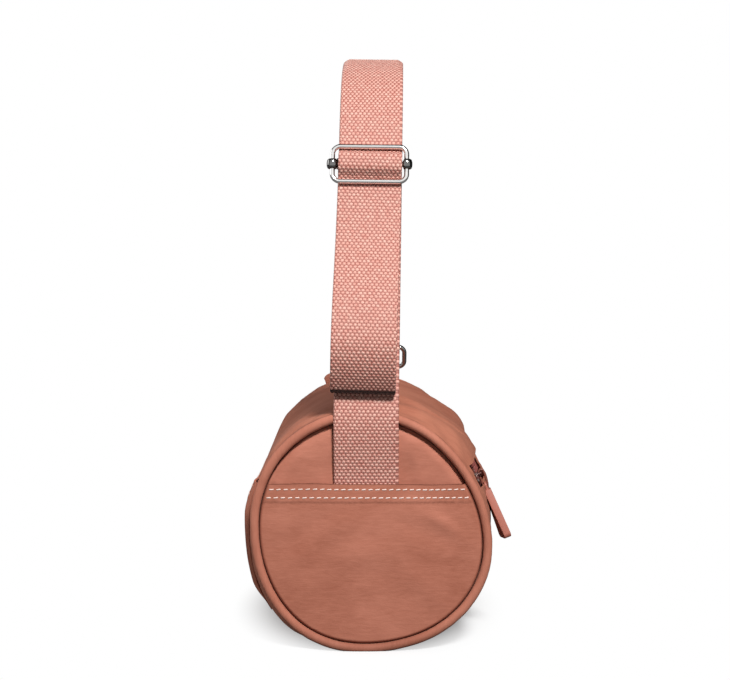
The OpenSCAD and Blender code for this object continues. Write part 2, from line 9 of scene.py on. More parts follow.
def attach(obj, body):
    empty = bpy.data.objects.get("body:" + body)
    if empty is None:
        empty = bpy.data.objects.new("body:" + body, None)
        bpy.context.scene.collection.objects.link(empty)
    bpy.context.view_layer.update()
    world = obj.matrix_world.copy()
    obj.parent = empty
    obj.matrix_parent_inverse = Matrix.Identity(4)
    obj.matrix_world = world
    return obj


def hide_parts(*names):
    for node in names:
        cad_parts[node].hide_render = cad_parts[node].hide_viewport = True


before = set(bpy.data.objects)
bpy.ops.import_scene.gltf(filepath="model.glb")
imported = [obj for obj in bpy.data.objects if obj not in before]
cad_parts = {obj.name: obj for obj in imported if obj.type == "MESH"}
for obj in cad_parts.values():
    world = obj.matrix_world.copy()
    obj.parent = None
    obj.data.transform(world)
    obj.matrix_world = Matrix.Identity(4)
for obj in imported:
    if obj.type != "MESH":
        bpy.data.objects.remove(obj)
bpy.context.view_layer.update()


# Barrel wall
# One panel of matt, finely crinkled nylon rolled into a barrel. It is sewn into the piped end
# seams and along both zip tapes, and puffs a little over the foam between them.
AXIS_Z = 0.0688
WALL_R = 0.0693
WALL_END = 0.1145
WALL_T = 0.0012
WALL_COLUMNS = 240
WALL_RINGS = 120
ZIP_ANGLE = math.radians(26)
ZIP_HALF_GAP = 0.0065
ZIP_HALF_LEN = 0.106
NOISE_R = 0.07
# Where the painted shade along the wall's end seams begins, out from the middle.
WALL_PAINTED_SHADE_FROM = 0.1122


def only(piece):
    """Leaves one piece selected and active."""
    bpy.ops.object.select_all(action="DESELECT")
    piece.select_set(True)
    bpy.context.view_layer.objects.active = piece


@contextlib.contextmanager
def editing(piece, mode="FACE", chosen=None):
    """Edit mode on one piece, with all of it selected, or only the faces or edges that are chosen."""
    only(piece)
    bpy.ops.object.mode_set(mode="EDIT")
    bpy.ops.mesh.select_mode(type=mode)
    bpy.ops.mesh.select_all(action="DESELECT" if chosen else "SELECT")
    if chosen:
        bpy.ops.object.mode_set(mode="OBJECT")
        for part in piece.data.edges if mode == "EDGE" else piece.data.polygons:
            part.select = chosen(part)
        bpy.ops.object.mode_set(mode="EDIT")
    yield
    bpy.ops.object.mode_set(mode="OBJECT")


def points(piece):
    """The places of a piece's points, one row each."""
    found = np.zeros(len(piece.data.vertices) * 3)
    piece.data.vertices.foreach_get("co", found)
    return found.reshape(-1, 3)


def move_points(piece, placed):
    piece.data.vertices.foreach_set("co", np.asarray(placed, float).ravel())
    piece.data.update()


def just_added(name):
    """The primitive that was added last, with its name and with its place in its mesh."""
    piece = bpy.context.object
    piece.name = name
    bpy.ops.object.transform_apply(location=True, rotation=True, scale=True)
    return piece


def apply_all(piece):
    only(piece)
    for modifier in list(piece.modifiers):
        bpy.ops.object.modifier_apply(modifier=modifier.name)


def modify(piece, kind, **settings):
    """Adds a modifier with its settings and applies it."""
    added = piece.modifiers.new(kind.title(), kind)
    for key, value in settings.items():
        setattr(added, key, value)
    apply_all(piece)


def finish_piece(piece, material, body, angle=40):
    """Smooths a piece, gives it its material and puts it on its body."""
    only(piece)
    bpy.ops.object.transform_apply(location=True, rotation=True, scale=True)
    piece.data.materials.clear()
    piece.data.materials.append(material)
    bpy.ops.object.shade_smooth_by_angle(angle=math.radians(angle))
    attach(piece, body)


def thicken(piece, thickness, offset=-1.0):
    """Gives a sheet its real thickness and a closed rim, with its face away from the axis."""
    with editing(piece):
        bpy.ops.mesh.normals_make_consistent(inside=False)
    middle = Vector((0, 0, AXIS_Z))
    if sum(face.area * face.normal.dot(face.center - middle) for face in piece.data.polygons) < 0:
        with editing(piece):
            bpy.ops.mesh.flip_normals()
    modify(piece, "SOLIDIFY", thickness=thickness, offset=offset, use_rim=True)


def mark_painted_shade(piece, shares):
    """Notes how much painted shade each point of a piece gets, kept in its attribute named seam, for its
    material's colour.
    """
    seam = piece.data.attributes.new("seam", "FLOAT", "POINT")
    seam.data.foreach_set("value", np.asarray(shares, float))


def ripple(place, scale, seed):
    """Smooth noise from -1 to 1 at a place given in metres."""
    return noise.noise(Vector(place) * scale + Vector((seed, seed * 2.0, seed * 3.0)))


def smoothstep(low, high, value):
    share = min(1.0, max(0.0, (value - low) / (high - low)))
    return share * share * (3 - 2 * share)


def eased(share):
    """The same easing for an array of shares."""
    share = np.clip(share, 0, 1)
    return share * share * (3 - 2 * share)


def settle(piece, sewn, pressure, growth, cap, frames=20):
    """Lets cloth puff and crease between the seams that hold it, and keeps it near its cut."""
    before = points(piece)
    group = piece.vertex_groups.new(name="sewn")
    group.add([int(i) for i in sewn], 1.0, "REPLACE")
    cloth = piece.modifiers.new("Cloth", "CLOTH")
    nylon_cloth = {
        "quality": 6,
        "mass": 0.12,
        "tension_stiffness": 20,
        "compression_stiffness": 20,
        "shear_stiffness": 5,
        "bending_stiffness": 0.2,
        "vertex_group_mass": "sewn",
        "use_pressure": True,
        "uniform_pressure_force": pressure,
        "shrink_min": -growth,
    }
    for key, value in nylon_cloth.items():
        setattr(cloth.settings, key, value)
    cloth.settings.effector_weights.gravity = 0.0
    cloth.collision_settings.use_collision = False
    for frame_number in range(1, frames + 1):
        bpy.context.scene.frame_set(frame_number)
    apply_all(piece)
    bpy.context.scene.frame_set(1)
    moved = points(piece) - before
    far = np.linalg.norm(moved, axis=1, keepdims=True)
    moved *= np.minimum(1.0, cap / np.maximum(far, 1e-9))
    move_points(piece, before + moved)
    piece.vertex_groups.clear()


def rgb(red, green, blue):
    """A colour given in 8 bit sRGB, as linear values for a shader."""
    linear = [
        v / 12.92 if v <= 0.04045 else ((v + 0.055) / 1.055) ** 2.4
        for v in (red / 255, green / 255, blue / 255)
    ]
    return (*linear, 1.0)


def set_input(tree, socket, value):
    """Links a socket to another node's output, or sets it to a plain value."""
    if isinstance(value, bpy.types.NodeSocket):
        tree.links.new(value, socket)
    elif value is not None:
        socket.default_value = value


def add_node(tree, kind, inputs=(), **settings):
    """A shader node with its settings and its inputs."""
    node = tree.nodes.new("ShaderNode" + kind)
    for key, value in settings.items():
        setattr(node, key, value)
    for key, value in dict(inputs).items():
        set_input(tree, node.inputs[key], value)
    return node


def maths(tree, operation, a, b=None, c=None):
    return add_node(tree, "Math", {0: a, 1: b, 2: c}, operation=operation).outputs[0]


def blend_colours(tree, share, first, second):
    return add_node(tree, "Mix", {0: share, 6: first, 7: second}, data_type="RGBA").outputs[2]


def share_of(tree, value, low, high, easing="LINEAR"):
    """How far a value lies between a low and a high one, from 0 to 1."""
    inputs = {"Value": value, "From Min": low, "From Max": high}
    return add_node(tree, "MapRange", inputs, interpolation_type=easing).outputs[0]


def noise_over(tree, place, scale, detail=2.0, **more):
    inputs = {"Vector": place, "Scale": scale, "Detail": detail, **more}
    return add_node(tree, "TexNoise", inputs).outputs["Fac"]


def mapped(tree, place, **inputs):
    return add_node(tree, "Mapping", {"Vector": place, **inputs}).outputs[0]


def object_place(tree):
    return add_node(tree, "TexCoord").outputs["Object"]


# The share of painted shade noted on each point, from 0 to 1.
def painted_shade_mark(tree):
    return add_node(tree, "Attribute", attribute_name="seam").outputs["Fac"]


def new_material(name):
    material = bpy.data.materials.new(name)
    material.use_nodes = True
    return material, material.node_tree


def finish_surface(material, height, strength, relief, inputs):
    """Gives a material's shader its inputs and a relief of a height in metres."""
    tree = material.node_tree
    shader = tree.nodes["Principled BSDF"]
    bump = add_node(tree, "Bump", {"Height": height, "Strength": strength, "Distance": relief})
    for key, value in {**inputs, "Normal": bump.outputs[0]}.items():
        set_input(tree, shader.inputs[key], value)
    return material


def new_group(name):
    """A node group that reads a place, and its place output."""
    group = bpy.data.node_groups.new(name, "ShaderNodeTree")
    group.interface.new_socket("Place", in_out="INPUT", socket_type="NodeSocketVector")
    return group, group.nodes.new("NodeGroupInput").outputs["Place"]


def put_out(group, **values):
    """Gives a node group its outputs."""
    for name in values:
        group.interface.new_socket(name, in_out="OUTPUT", socket_type="NodeSocketFloat")
    end = group.nodes.new("NodeGroupOutput")
    for name, value in values.items():
        group.links.new(value, end.inputs[name])
    return group


def crinkle_group():
    """Crinkled nylon: long fine creases, a close grain, and a tone of slow patches mixed half and half
    with the crease height, which gives painted shade in the creases' hollows.
    """
    group, place = new_group("nylon_crinkle")
    crease, fine, grain, patch = (
        noise_over(group, mapped(group, place, Scale=scale), 1.0, detail, Roughness=0.55, Distortion=0.5)
        for scale, detail in (
            ((110, 110, 560), 4.0),
            ((330, 330, 1300), 3.0),
            ((1900, 1900, 1900), 2.0),
            ((28, 28, 40), 3.0),
        )
    )
    height = maths(group, "MULTIPLY_ADD", crease, 0.55, maths(group, "MULTIPLY", fine, 0.3))
    height = maths(group, "MULTIPLY_ADD", grain, 0.15, height)
    # Half of this tone follows the crease height: painted shade in the creases' hollows.
    tone = maths(group, "MULTIPLY_ADD", patch, 0.5, maths(group, "MULTIPLY", height, 0.5))
    return put_out(group, Height=height, Tone=tone)


nylon_crinkle = crinkle_group()
# Colour of the painted shade in the grooves beside the piping, along the wall's end seams, under the
# piping and along the pockets' mouths.
PAINTED_SHADE = rgb(80, 43, 33)


def nylon(name, light, dark, turn=(0.0, 0.0, 0.0), relief=0.0004):
    """The bag's outer fabric, its creases turned to run along the piece."""
    material, tree = new_material(name)
    place = mapped(tree, object_place(tree), Rotation=turn)
    crinkle = add_node(tree, "Group", node_tree=nylon_crinkle)
    set_input(tree, crinkle.inputs["Place"], place)
    tone = crinkle.outputs["Tone"]
    # Darker in the creases' hollows as painted shade, over slow random patches of tone.
    cloth = blend_colours(tree, share_of(tree, tone, 0.36, 0.64), dark, light)
    inputs = {
        # Painted shade where the piece is marked.
        "Base Color": blend_colours(tree, painted_shade_mark(tree), cloth, PAINTED_SHADE),
        "Roughness": maths(tree, "MULTIPLY_ADD", tone, -0.2, 0.72),
        "Specular IOR Level": 0.08,
        "Sheen Weight": 0.02,
        "Sheen Roughness": 0.4,
    }
    return finish_surface(material, crinkle.outputs["Height"], 0.55, relief, inputs)


# The wall, piping, end panels, end pockets and side pocket are all one nylon. Their colours differ a
# little from piece to piece as painted light and shade; the wall's is the darkest.
wall_nylon = nylon("wall_nylon", rgb(184, 119, 96), rgb(163, 99, 78), (math.pi / 2, 0, 0))


def barrel_sheet(name, radius, half_len, columns, rings):
    """An open barrel round the axis, its seam columns counted from the middle of the zip."""
    bpy.ops.mesh.primitive_cylinder_add(
        vertices=columns,
        radius=radius,
        depth=2 * half_len,
        end_fill_type="NOTHING",
        location=(0, 0, AXIS_Z),
        rotation=(math.pi / 2, 0, 0),
    )
    piece = just_added(name)
    first = points(piece)[0]
    start = math.atan2(first[2] - AXIS_Z, first[0])
    with editing(piece):
        bpy.ops.transform.rotate(
            value=start - ZIP_ANGLE, orient_axis="Y", center_override=(0, 0, AXIS_Z)
        )
    along = points(piece)[:, 1]
    with editing(piece, "EDGE", lambda edge: np.ptp(along[list(edge.vertices)]) > half_len):
        bpy.ops.mesh.subdivide(number_cuts=rings - 1)
    return piece


def from_zip(placed):
    """The angle of each point round the axis, from the middle of the zip."""
    angle = np.arctan2(placed[:, 2] - AXIS_Z, placed[:, 0]) - ZIP_ANGLE
    return np.arctan2(np.sin(angle), np.cos(angle))


def round_axis(radius, turn, along):
    """Places at a radius and an angle round the barrel's axis."""
    return np.stack([radius * np.cos(turn), along, AXIS_Z + radius * np.sin(turn)], axis=-1)


def shape_wall(piece):
    """Opens the zip's slot in the wall, puffs the wall, and gives the points that are sewn."""
    half_gap = math.asin(ZIP_HALF_GAP / WALL_R)
    step = 2 * math.pi / WALL_COLUMNS
    column = round(half_gap / step) * step
    ring = 2 * WALL_END / WALL_RINGS
    row = round(ZIP_HALF_LEN / ring) * ring
    with editing(
        piece,
        chosen=lambda face: abs(face.center.y) < row
        and abs(math.atan2(face.center.z - AXIS_Z, face.center.x) - ZIP_ANGLE) < column,
    ):
        bpy.ops.mesh.delete(type="FACE")
    found = points(piece)
    angle = from_zip(found)
    along = found[:, 1].copy()
    side = np.isclose(np.abs(angle), column, atol=1e-3)
    angle = np.where(side, np.sign(angle) * half_gap, angle)
    across = np.isclose(np.abs(along), row, atol=1e-5)
    along = np.where(across, np.sign(along) * ZIP_HALF_LEN, along)
    radius = np.array([wall_radius(a, y) for a, y in zip(angle, along)])
    move_points(piece, round_axis(radius, angle + ZIP_ANGLE, along))
    at_slot = (np.abs(angle) < half_gap + 1e-3) & (np.abs(along) < ZIP_HALF_LEN + 1e-4)
    at_rim = np.abs(along) > WALL_END - 1e-5
    return np.nonzero(at_slot | at_rim)[0]


# Waves of the sag round the barrel: cosine and sine share of 1, 2, 3 and 4 waves, in metres.
SAG_WAVES = ((-0.00076, -0.00036), (-0.00061, -0.00146), (0.00082, -0.00066), (-0.00018, -0.00058))
SAG_GROWTH = 0.0009
SAG_FLAT = 0.0011
SAG_FROM = -0.02
SAG_FROM_BY_ZIP = -0.1005
SAG_FULL = -0.1125


def sagged(placed):
    """The soft barrel's near end, a little wider low down and drawn in beside the zip."""
    placed = np.array(placed, float)
    up = placed[:, 2] - AXIS_Z
    turn = np.arctan2(up, placed[:, 0])
    reach = np.hypot(placed[:, 0], up)
    spread = np.full(len(placed), SAG_GROWTH)
    for order, (level, upright) in enumerate(SAG_WAVES, 1):
        spread += level * np.cos(order * turn) + upright * np.sin(order * turn)
    by_zip = np.exp(-((np.abs(from_zip(placed)) / 0.70) ** 4))
    start = SAG_FROM * (1 - by_zip) + SAG_FROM_BY_ZIP * by_zip
    below = np.abs(np.arctan2(np.sin(turn + math.pi / 2), np.cos(turn + math.pi / 2)))
    spread -= SAG_FLAT * np.exp(-((below / 0.45) ** 2))
    share = eased((start - placed[:, 1]) / (start - SAG_FULL))
    upright = eased((np.abs(np.sin(turn)) - 0.45) / 0.30)
    shift = spread * share * reach / WALL_R * eased((reach / WALL_R - 0.42) / 0.50)
    shift /= np.cos(turn) ** 2 + upright * np.sin(turn) ** 2
    placed[:, 0] += shift * np.cos(turn)
    placed[:, 2] += shift * upright * np.sin(turn)
    return placed


ZIP_BOW = 0.0038
BOW_FULL = 0.058
BOW_END = 0.087


def zip_bow(along):
    """How far the closed zip bows out of the barrel between the parts that its slider reaches."""
    return ZIP_BOW * (1 - smoothstep(BOW_FULL, BOW_END, abs(along)))


def zip_swell(off, along):
    """The bow beside the zip, at an angle from its middle."""
    return zip_bow(along) * math.exp(-((off / 0.29) ** 4))


# Soft folds: angle from the zip, place along, half width, half length and rise.
WALL_FOLDS = (
    (0.28, -0.080, 0.28, 0.026, 0.0042),
    (0.50, -0.100, 0.30, 0.012, 0.0008),
    (0.70, -0.090, 0.27, 0.014, 0.0042),
    (0.74, -0.056, 0.32, 0.013, -0.0022),
    (1.55, -0.080, 0.22, 0.030, 0.0015),
    (0.36, -0.026, 0.26, 0.028, 0.0028),
    (0.34, 0.060, 0.26, 0.036, 0.0036),
    (-0.34, -0.070, 0.20, 0.026, 0.0016),
    (-0.36, 0.020, 0.18, 0.030, 0.0012),
    (1.25, -0.092, 0.22, 0.010, -0.0009),
    (1.60, 0.085, 0.30, 0.012, -0.0010),
    (2.05, -0.040, 0.40, 0.040, 0.0007),
    (1.82, 0.070, 0.30, 0.040, 0.0028),
    (-1.10, 0.060, 0.30, 0.030, 0.0008),
    (-2.98, -0.101, 0.40, 0.016, 0.0042),
    (-2.70, -0.100, 0.22, 0.015, 0.0022),
    (-1.15, -0.100, 0.45, 0.014, 0.0009),
)
WALL_PUFF = 0.0008
WALL_RIPPLE = 0.0005
SEAM_GATHER = 0.0009


def wall_radius(angle, along):
    """Radius of the wall at an angle from the zip and a place along the barrel."""
    to_seam = WALL_END - abs(along)
    held = 1 - math.exp(-(to_seam / 0.007))
    puff = WALL_PUFF * held + zip_swell(angle, along)
    for at_angle, at_along, wide, long, rise in WALL_FOLDS:
        turn = math.atan2(math.sin(angle - at_angle), math.cos(angle - at_angle))
        puff += rise * math.exp(-((turn / wide) ** 2) - ((along - at_along) / long) ** 2) * held
    place = (math.cos(angle) * NOISE_R, along, math.sin(angle) * NOISE_R)
    puff += WALL_RIPPLE * ripple(place, 26, 3.1) * held
    gather = math.exp(-(to_seam / 0.009)) * held
    puff += SEAM_GATHER * gather * ripple(place, 95, 7.7)
    return WALL_R + puff


def rest_on_floor(piece, low=0.0):
    placed = points(piece)
    placed[:, 2] = np.maximum(placed[:, 2], low)
    move_points(piece, placed)


wall = barrel_sheet("barrel_wall", WALL_R, WALL_END, WALL_COLUMNS, WALL_RINGS)
sewn = shape_wall(wall)
settle(wall, sewn, pressure=1.5, growth=0.008, cap=0.0015)
# Painted shade along the wall's edges beside the piped end seams.
mark_painted_shade(wall, [smoothstep(WALL_PAINTED_SHADE_FROM, WALL_END, abs(y)) * 0.8 for _, y, _ in points(wall)])
move_points(wall, sagged(points(wall)))
rest_on_floor(wall)
thicken(wall, WALL_T)
rest_on_floor(wall)
finish_piece(wall, wall_nylon, "bag")
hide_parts("shell")


# Foam and lining
# Thin foam keeps the barrel round. Inside it hangs a closed inner bag of smooth lining, open
# only along the zip.
FOAM_R = 0.0668
LINING_R = 0.0645
INNER_HALF_LEN = 0.1114
FOAM_T = 0.0017
FOAM_LOW = 0.0021
LINING_T = 0.0006
INNER_HALF_GAP = 0.0076


def open_slot(piece, half_gap, half_len):
    """Removes the faces of a barrel over the zip."""
    cos_zip, sin_zip = math.cos(ZIP_ANGLE), math.sin(ZIP_ANGLE)
    with editing(
        piece,
        chosen=lambda face: face.center.x > 0
        and abs((face.center.z - AXIS_Z) * cos_zip - face.center.x * sin_zip) < half_gap
        and abs(face.center.y) < half_len,
    ):
        bpy.ops.mesh.delete(type="FACE")


def slacken(piece, radius, lump, scale, seed):
    """Draws a barrel in by up to twice its lumps, less near the middle of its ends."""
    placed = points(piece)
    for point in placed:
        turn = math.atan2(point[2] - AXIS_Z, point[0])
        place = (math.cos(turn) * NOISE_R, point[1], math.sin(turn) * NOISE_R)
        shift = lump * ripple(place, scale, seed) - abs(lump)
        shift *= min(1.0, math.hypot(point[0], point[2] - AXIS_Z) / radius)
        point[0] += shift * math.cos(turn)
        point[2] += shift * math.sin(turn)
    move_points(piece, sagged(placed))


def cloth_material(name, light, dark, scale, relief, roughness=0.7):
    """A plain fine cloth or foam: a close grain with slow changes of tone."""
    material, tree = new_material(name)
    place = object_place(tree)
    grain = noise_over(tree, place, scale, 4)
    slow = maths(tree, "MULTIPLY", noise_over(tree, place, 60), 0.4)
    share = share_of(tree, maths(tree, "MULTIPLY_ADD", grain, 0.6, slow), 0.35, 0.65)
    inputs = {
        "Base Color": blend_colours(tree, share, dark, light),
        "Roughness": maths(tree, "MULTIPLY_ADD", grain, 0.2, roughness - 0.1),
    }
    return finish_surface(material, grain, 0.5, relief, inputs)


pale_foam = cloth_material("pale_foam", rgb(236, 231, 220), rgb(214, 206, 192), 1500, 0.0003, 0.85)
smooth_lining = cloth_material("smooth_lining", rgb(150, 98, 80), rgb(128, 80, 65), 2200, 0.0001, 0.5)

foam_sleeve = barrel_sheet("foam_sleeve", FOAM_R, INNER_HALF_LEN, 120, 60)
slacken(foam_sleeve, FOAM_R, 0.0002, 60, 1.1)
open_slot(foam_sleeve, INNER_HALF_GAP, ZIP_HALF_LEN)
rest_on_floor(foam_sleeve, FOAM_LOW)
thicken(foam_sleeve, FOAM_T)
finish_piece(foam_sleeve, pale_foam, "bag")
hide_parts("foam_wrap")

lining = barrel_sheet("lining_bag", LINING_R, INNER_HALF_LEN, 120, 60)
with editing(lining, "EDGE"):
    bpy.ops.mesh.region_to_loop()
    bpy.ops.mesh.edge_face_add()
with editing(lining, chosen=lambda face: abs(face.normal.y) > 0.9):
    bpy.ops.mesh.inset(thickness=0.012, depth=0, use_individual=True)
    bpy.ops.mesh.inset(thickness=0.020, depth=0, use_individual=True)
    bpy.ops.mesh.poke()
slacken(lining, LINING_R, -0.0004, 45, 2.3)
open_slot(lining, INNER_HALF_GAP, ZIP_HALF_LEN)
thicken(lining, LINING_T)
finish_piece(lining, smooth_lining, "bag")
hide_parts("lining")


# Piped end seams
# A cord covered in a bias strip of the same nylon, caught in the seam all round each end. It
# carries the barrel on the floor, where it is pressed a little flat.
ENDS = (("near", -1), ("far", 1))
PIPING_RING_R = 0.0674
PIPING_R = 0.0026
PIPING_Y = 0.1174

# A little lighter than the wall's nylon: painted light.
piping_nylon = nylon("piping_nylon", rgb(190, 123, 102), rgb(170, 105, 85), (0, math.pi / 2, 0), 0.0003)


def end_ring(name, ring_r, round_r, y, segments, sides):
    """A round ring across the axis."""
    bpy.ops.mesh.primitive_torus_add(
        major_segments=segments,
        minor_segments=sides,
        major_radius=ring_r,
        minor_radius=round_r,
        location=(0, y, AXIS_Z),
        rotation=(math.pi / 2, 0, 0),
    )
    return just_added(name)


def piping(side, end):
    piece = end_ring("piping_" + side, PIPING_RING_R, PIPING_R, end * PIPING_Y, 288, 22)
    placed = points(piece)
    for point in placed:
        turn = math.atan2(point[2] - AXIS_Z, point[0])
        around = (math.cos(turn), end, math.sin(turn))
        shift = 0.00022 * ripple(around, 3.2, 1.7) + 0.00012 * ripple(around, 15, 5.2)
        shift += 0.00007 * ripple(tuple(point), 520, 9.0)
        point[0] += shift * math.cos(turn)
        point[2] += shift * math.sin(turn)
        point[1] += end * 0.00015 * ripple(around, 8, 2.9)
    # Painted shade on the lower part of the piping, which faces down.
    low = (AXIS_Z - placed[:, 2]) / (PIPING_RING_R + PIPING_R)
    mark_painted_shade(piece, [0.34 * smoothstep(0.60, 0.98, share) for share in low])
    move_points(piece, sagged(placed))
    rest_on_floor(piece)
    finish_piece(piece, piping_nylon, "bag")
    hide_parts(side + "_piping")


for side, end in ENDS:
    piping(side, end)


# End panels
# A disc of the nylon over thin foam closes each end. Its edge turns in behind the piping, which
# leaves a narrow groove, made darker by painted shade.
PANEL_R = 0.0645
PANEL_Y = 0.1154
PANEL_T = 0.0012
PANEL_CROWN = 0.0016
RIM_STEP = 0.0005
RIM_STEPS = 6

# The lightest copy of the nylon: painted light.
panel_nylon = nylon("panel_nylon", rgb(194, 126, 105), rgb(173, 108, 88))


def disc_sheet(name, radius, segments, rings):
    """A flat round sheet across the axis, in even rings, closed at its middle."""
    bpy.ops.mesh.primitive_circle_add(
        vertices=segments,
        radius=radius,
        fill_type="NGON",
        location=(0, 0, AXIS_Z),
        rotation=(math.pi / 2, 0, 0),
    )
    piece = just_added(name)
    with editing(piece):
        for _ in range(RIM_STEPS):
            bpy.ops.mesh.inset(thickness=RIM_STEP, depth=0)
        for _ in range(rings - 1):
            bpy.ops.mesh.inset(thickness=(radius - RIM_STEPS * RIM_STEP) / rings, depth=0)
        bpy.ops.mesh.poke()
    return piece


def cut_level(piece, height, drop_above=False):
    """Cuts a line across a piece at a height, and drops what is above it where asked."""
    with editing(piece):
        bpy.ops.mesh.bisect(
            plane_co=(0, 0, height), plane_no=(0, 0, 1), clear_outer=drop_above, use_fill=False
        )


def groove_painted_shade(placed):
    """How much painted shade each point of an end piece gets in the groove beside the piping."""
    from_middle = np.hypot(placed[:, 0], placed[:, 2] - AXIS_Z)
    return np.clip((from_middle - (PANEL_R - 0.0009)) / 0.0007, 0, 1)


def end_panel(side, end):
    piece = disc_sheet("end_panel_" + side, PANEL_R, 160, 34)
    placed = points(piece)
    for point in placed:
        x, height = point[0], point[2] - AXIS_Z
        rim = smoothstep(0, 0.006, PANEL_R - math.hypot(x, height))
        beside_web = smoothstep(0.021, 0.030, abs(x)) * smoothstep(0.0, 0.03, height)
        free = min(1.0, smoothstep(0.034, 0.052, height) + beside_web)
        crease = 0.00035 * ripple((x, end, height * 2.2), 60, 4.0)
        point[1] = end * (PANEL_Y - 0.0008 * (1 - rim) + (PANEL_CROWN + crease) * rim * free)
    # Painted shade in the groove beside the piping.
    mark_painted_shade(piece, groove_painted_shade(placed))
    move_points(piece, sagged(placed))
    thicken(piece, PANEL_T)
    finish_piece(piece, panel_nylon, "bag")
    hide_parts(side + "_end_panel")


for side, end in ENDS:
    end_panel(side, end)


# Foam and bindings behind the end panels
# Each end panel is backed by a disc of foam. The seam round it is bound with a folded tape.
END_FOAM_R = 0.0585
END_FOAM_Y = 0.1136
END_FOAM_T = 0.0014
BINDING_R = 0.0678
BINDING_W = 0.009
BINDING_Y = 0.1129
BINDING_HALF_T = 0.00085
BINDING_LOW = 0.0006


def end_foam(side, end):
    piece = disc_sheet("end_foam_" + side, END_FOAM_R, 96, 16)
    placed = points(piece)
    for point in placed:
        rim = smoothstep(0, 0.004, END_FOAM_R - math.hypot(point[0], point[2] - AXIS_Z))
        lump = 0.00015 * ripple((point[0], end, point[2]), 90, 3.3)
        point[1] = end * (END_FOAM_Y - 0.0003 * (1 - rim) + lump * rim)
    move_points(piece, sagged(placed))
    thicken(piece, END_FOAM_T)
    finish_piece(piece, pale_foam, "bag")
    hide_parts(side + "_end_foam")


for side, end in ENDS:
    end_foam(side, end)

folded_tape = cloth_material("folded_tape", rgb(134, 84, 70), rgb(112, 68, 56), 1700, 0.0002)


def seam_binding(side, end):
    middle_r, middle = BINDING_R - BINDING_W / 2, end * BINDING_Y
    piece = end_ring("seam_binding_" + side, middle_r, BINDING_W / 2, middle, 160, 20)
    placed = points(piece)
    for point in placed:
        turn = math.atan2(point[2] - AXIS_Z, point[0])
        out = math.hypot(point[0], point[2] - AXIS_Z) - middle_r
        deep = point[1] - middle
        pucker = 0.00012 * math.sin(turn * 60) * (1 - abs(out) / BINDING_W)
        point[1] = middle + math.copysign(min(abs(deep), BINDING_HALF_T), deep) + pucker
    move_points(piece, sagged(placed))
    rest_on_floor(piece, BINDING_LOW)
    finish_piece(piece, folded_tape, "bag")
    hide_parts(side + "_seam_binding")


for side, end in ENDS:
    seam_binding(side, end)


# End pockets
# The same nylon again, laid over the lower part of each end as a slip pocket. Its mouth is
# turned in twice and held by two rows of pale stitching.
POCKET_TOP = 0.0289
HEM_H = 0.011
HEM_LINE = POCKET_TOP - HEM_H
HEM_T = 0.0005
MOUTH_H = 0.0005
POCKET_T = 0.0011
POCKET_Y = 0.1170
POCKET_RIM = 0.0019
POCKET_CROWN = 0.0011
POCKET_RIPPLE = 0.00045
STITCH_ROWS = (0.0031, 0.0079)
STITCH_PITCH = 0.00396
STITCH_HALF = STITCH_PITCH * 0.36
STITCH_RISE = 0.00012
THREAD_R = 0.00042

# A little lighter than the wall's nylon: painted light.
pocket_nylon = nylon("pocket_nylon", rgb(188, 121, 100), rgb(164, 100, 80))
# Soft folds: place across and up, turn, half length, half width and rise.
POCKET_FOLDS = (
    (0.041, 0.007, -0.62, 0.014, 0.0042, 0.0010),
    (0.030, 0.001, -0.45, 0.018, 0.0050, -0.0005),
    (-0.036, 0.004, 0.75, 0.016, 0.0060, -0.0006),
    (-0.026, -0.002, 0.70, 0.018, 0.0060, 0.0006),
    (0.000, -0.012, 0.10, 0.034, 0.0090, 0.0006),
    (-0.040, -0.036, 1.00, 0.016, 0.0050, 0.0005),
    (0.034, -0.034, -0.80, 0.018, 0.0060, 0.0004),
)


def pocket_face(x, height, end):
    """How far the pocket's face stands from the middle of the bag."""
    from_middle = math.hypot(x, height)
    rim = smoothstep(-0.0006, 0.0018, PANEL_R - from_middle)
    level = POCKET_Y + POCKET_RIM * rim + POCKET_CROWN * (1 - (from_middle / PANEL_R) ** 2)
    below_hem = smoothstep(0, 0.010, HEM_LINE - height)
    level += HEM_T * smoothstep(0, 0.0008, height - HEM_LINE) * rim
    for fold_x, fold_h, turn, long, wide, rise in POCKET_FOLDS:
        dx = -end * x - fold_x
        dh = height - fold_h
        run = dx * math.cos(turn) + dh * math.sin(turn)
        aside = -dx * math.sin(turn) + dh * math.cos(turn)
        level += rise * math.exp(-((run / long) ** 2) - (aside / wide) ** 2) * below_hem * rim
    waves = POCKET_RIPPLE * ripple((x, end, height * 1.6), 38, 6.0)
    return level + waves * rim * (0.35 + 0.65 * below_hem)


def end_pocket(side, end):
    piece = disc_sheet("end_pocket_" + side, PANEL_R, 192, 42)
    for height in (HEM_LINE - 0.0002, HEM_LINE + 0.0009, POCKET_TOP - MOUTH_H):
        cut_level(piece, AXIS_Z + height)
    cut_level(piece, AXIS_Z + POCKET_TOP, drop_above=True)
    placed = points(piece)
    for point in placed:
        point[1] = end * pocket_face(point[0], point[2] - AXIS_Z, end)
    # Painted shade in the groove beside the piping and in a thin line along the pocket's mouth.
    mouth_painted_shade = np.clip((placed[:, 2] - AXIS_Z - POCKET_TOP + MOUTH_H) / 0.0004, 0, 1) * 0.75
    mark_painted_shade(piece, np.maximum(groove_painted_shade(placed), mouth_painted_shade))
    move_points(piece, sagged(placed))
    thicken(piece, POCKET_T)
    finish_piece(piece, pocket_nylon, "bag")
    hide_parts(side + "_end_pocket")


for side, end in ENDS:
    end_pocket(side, end)


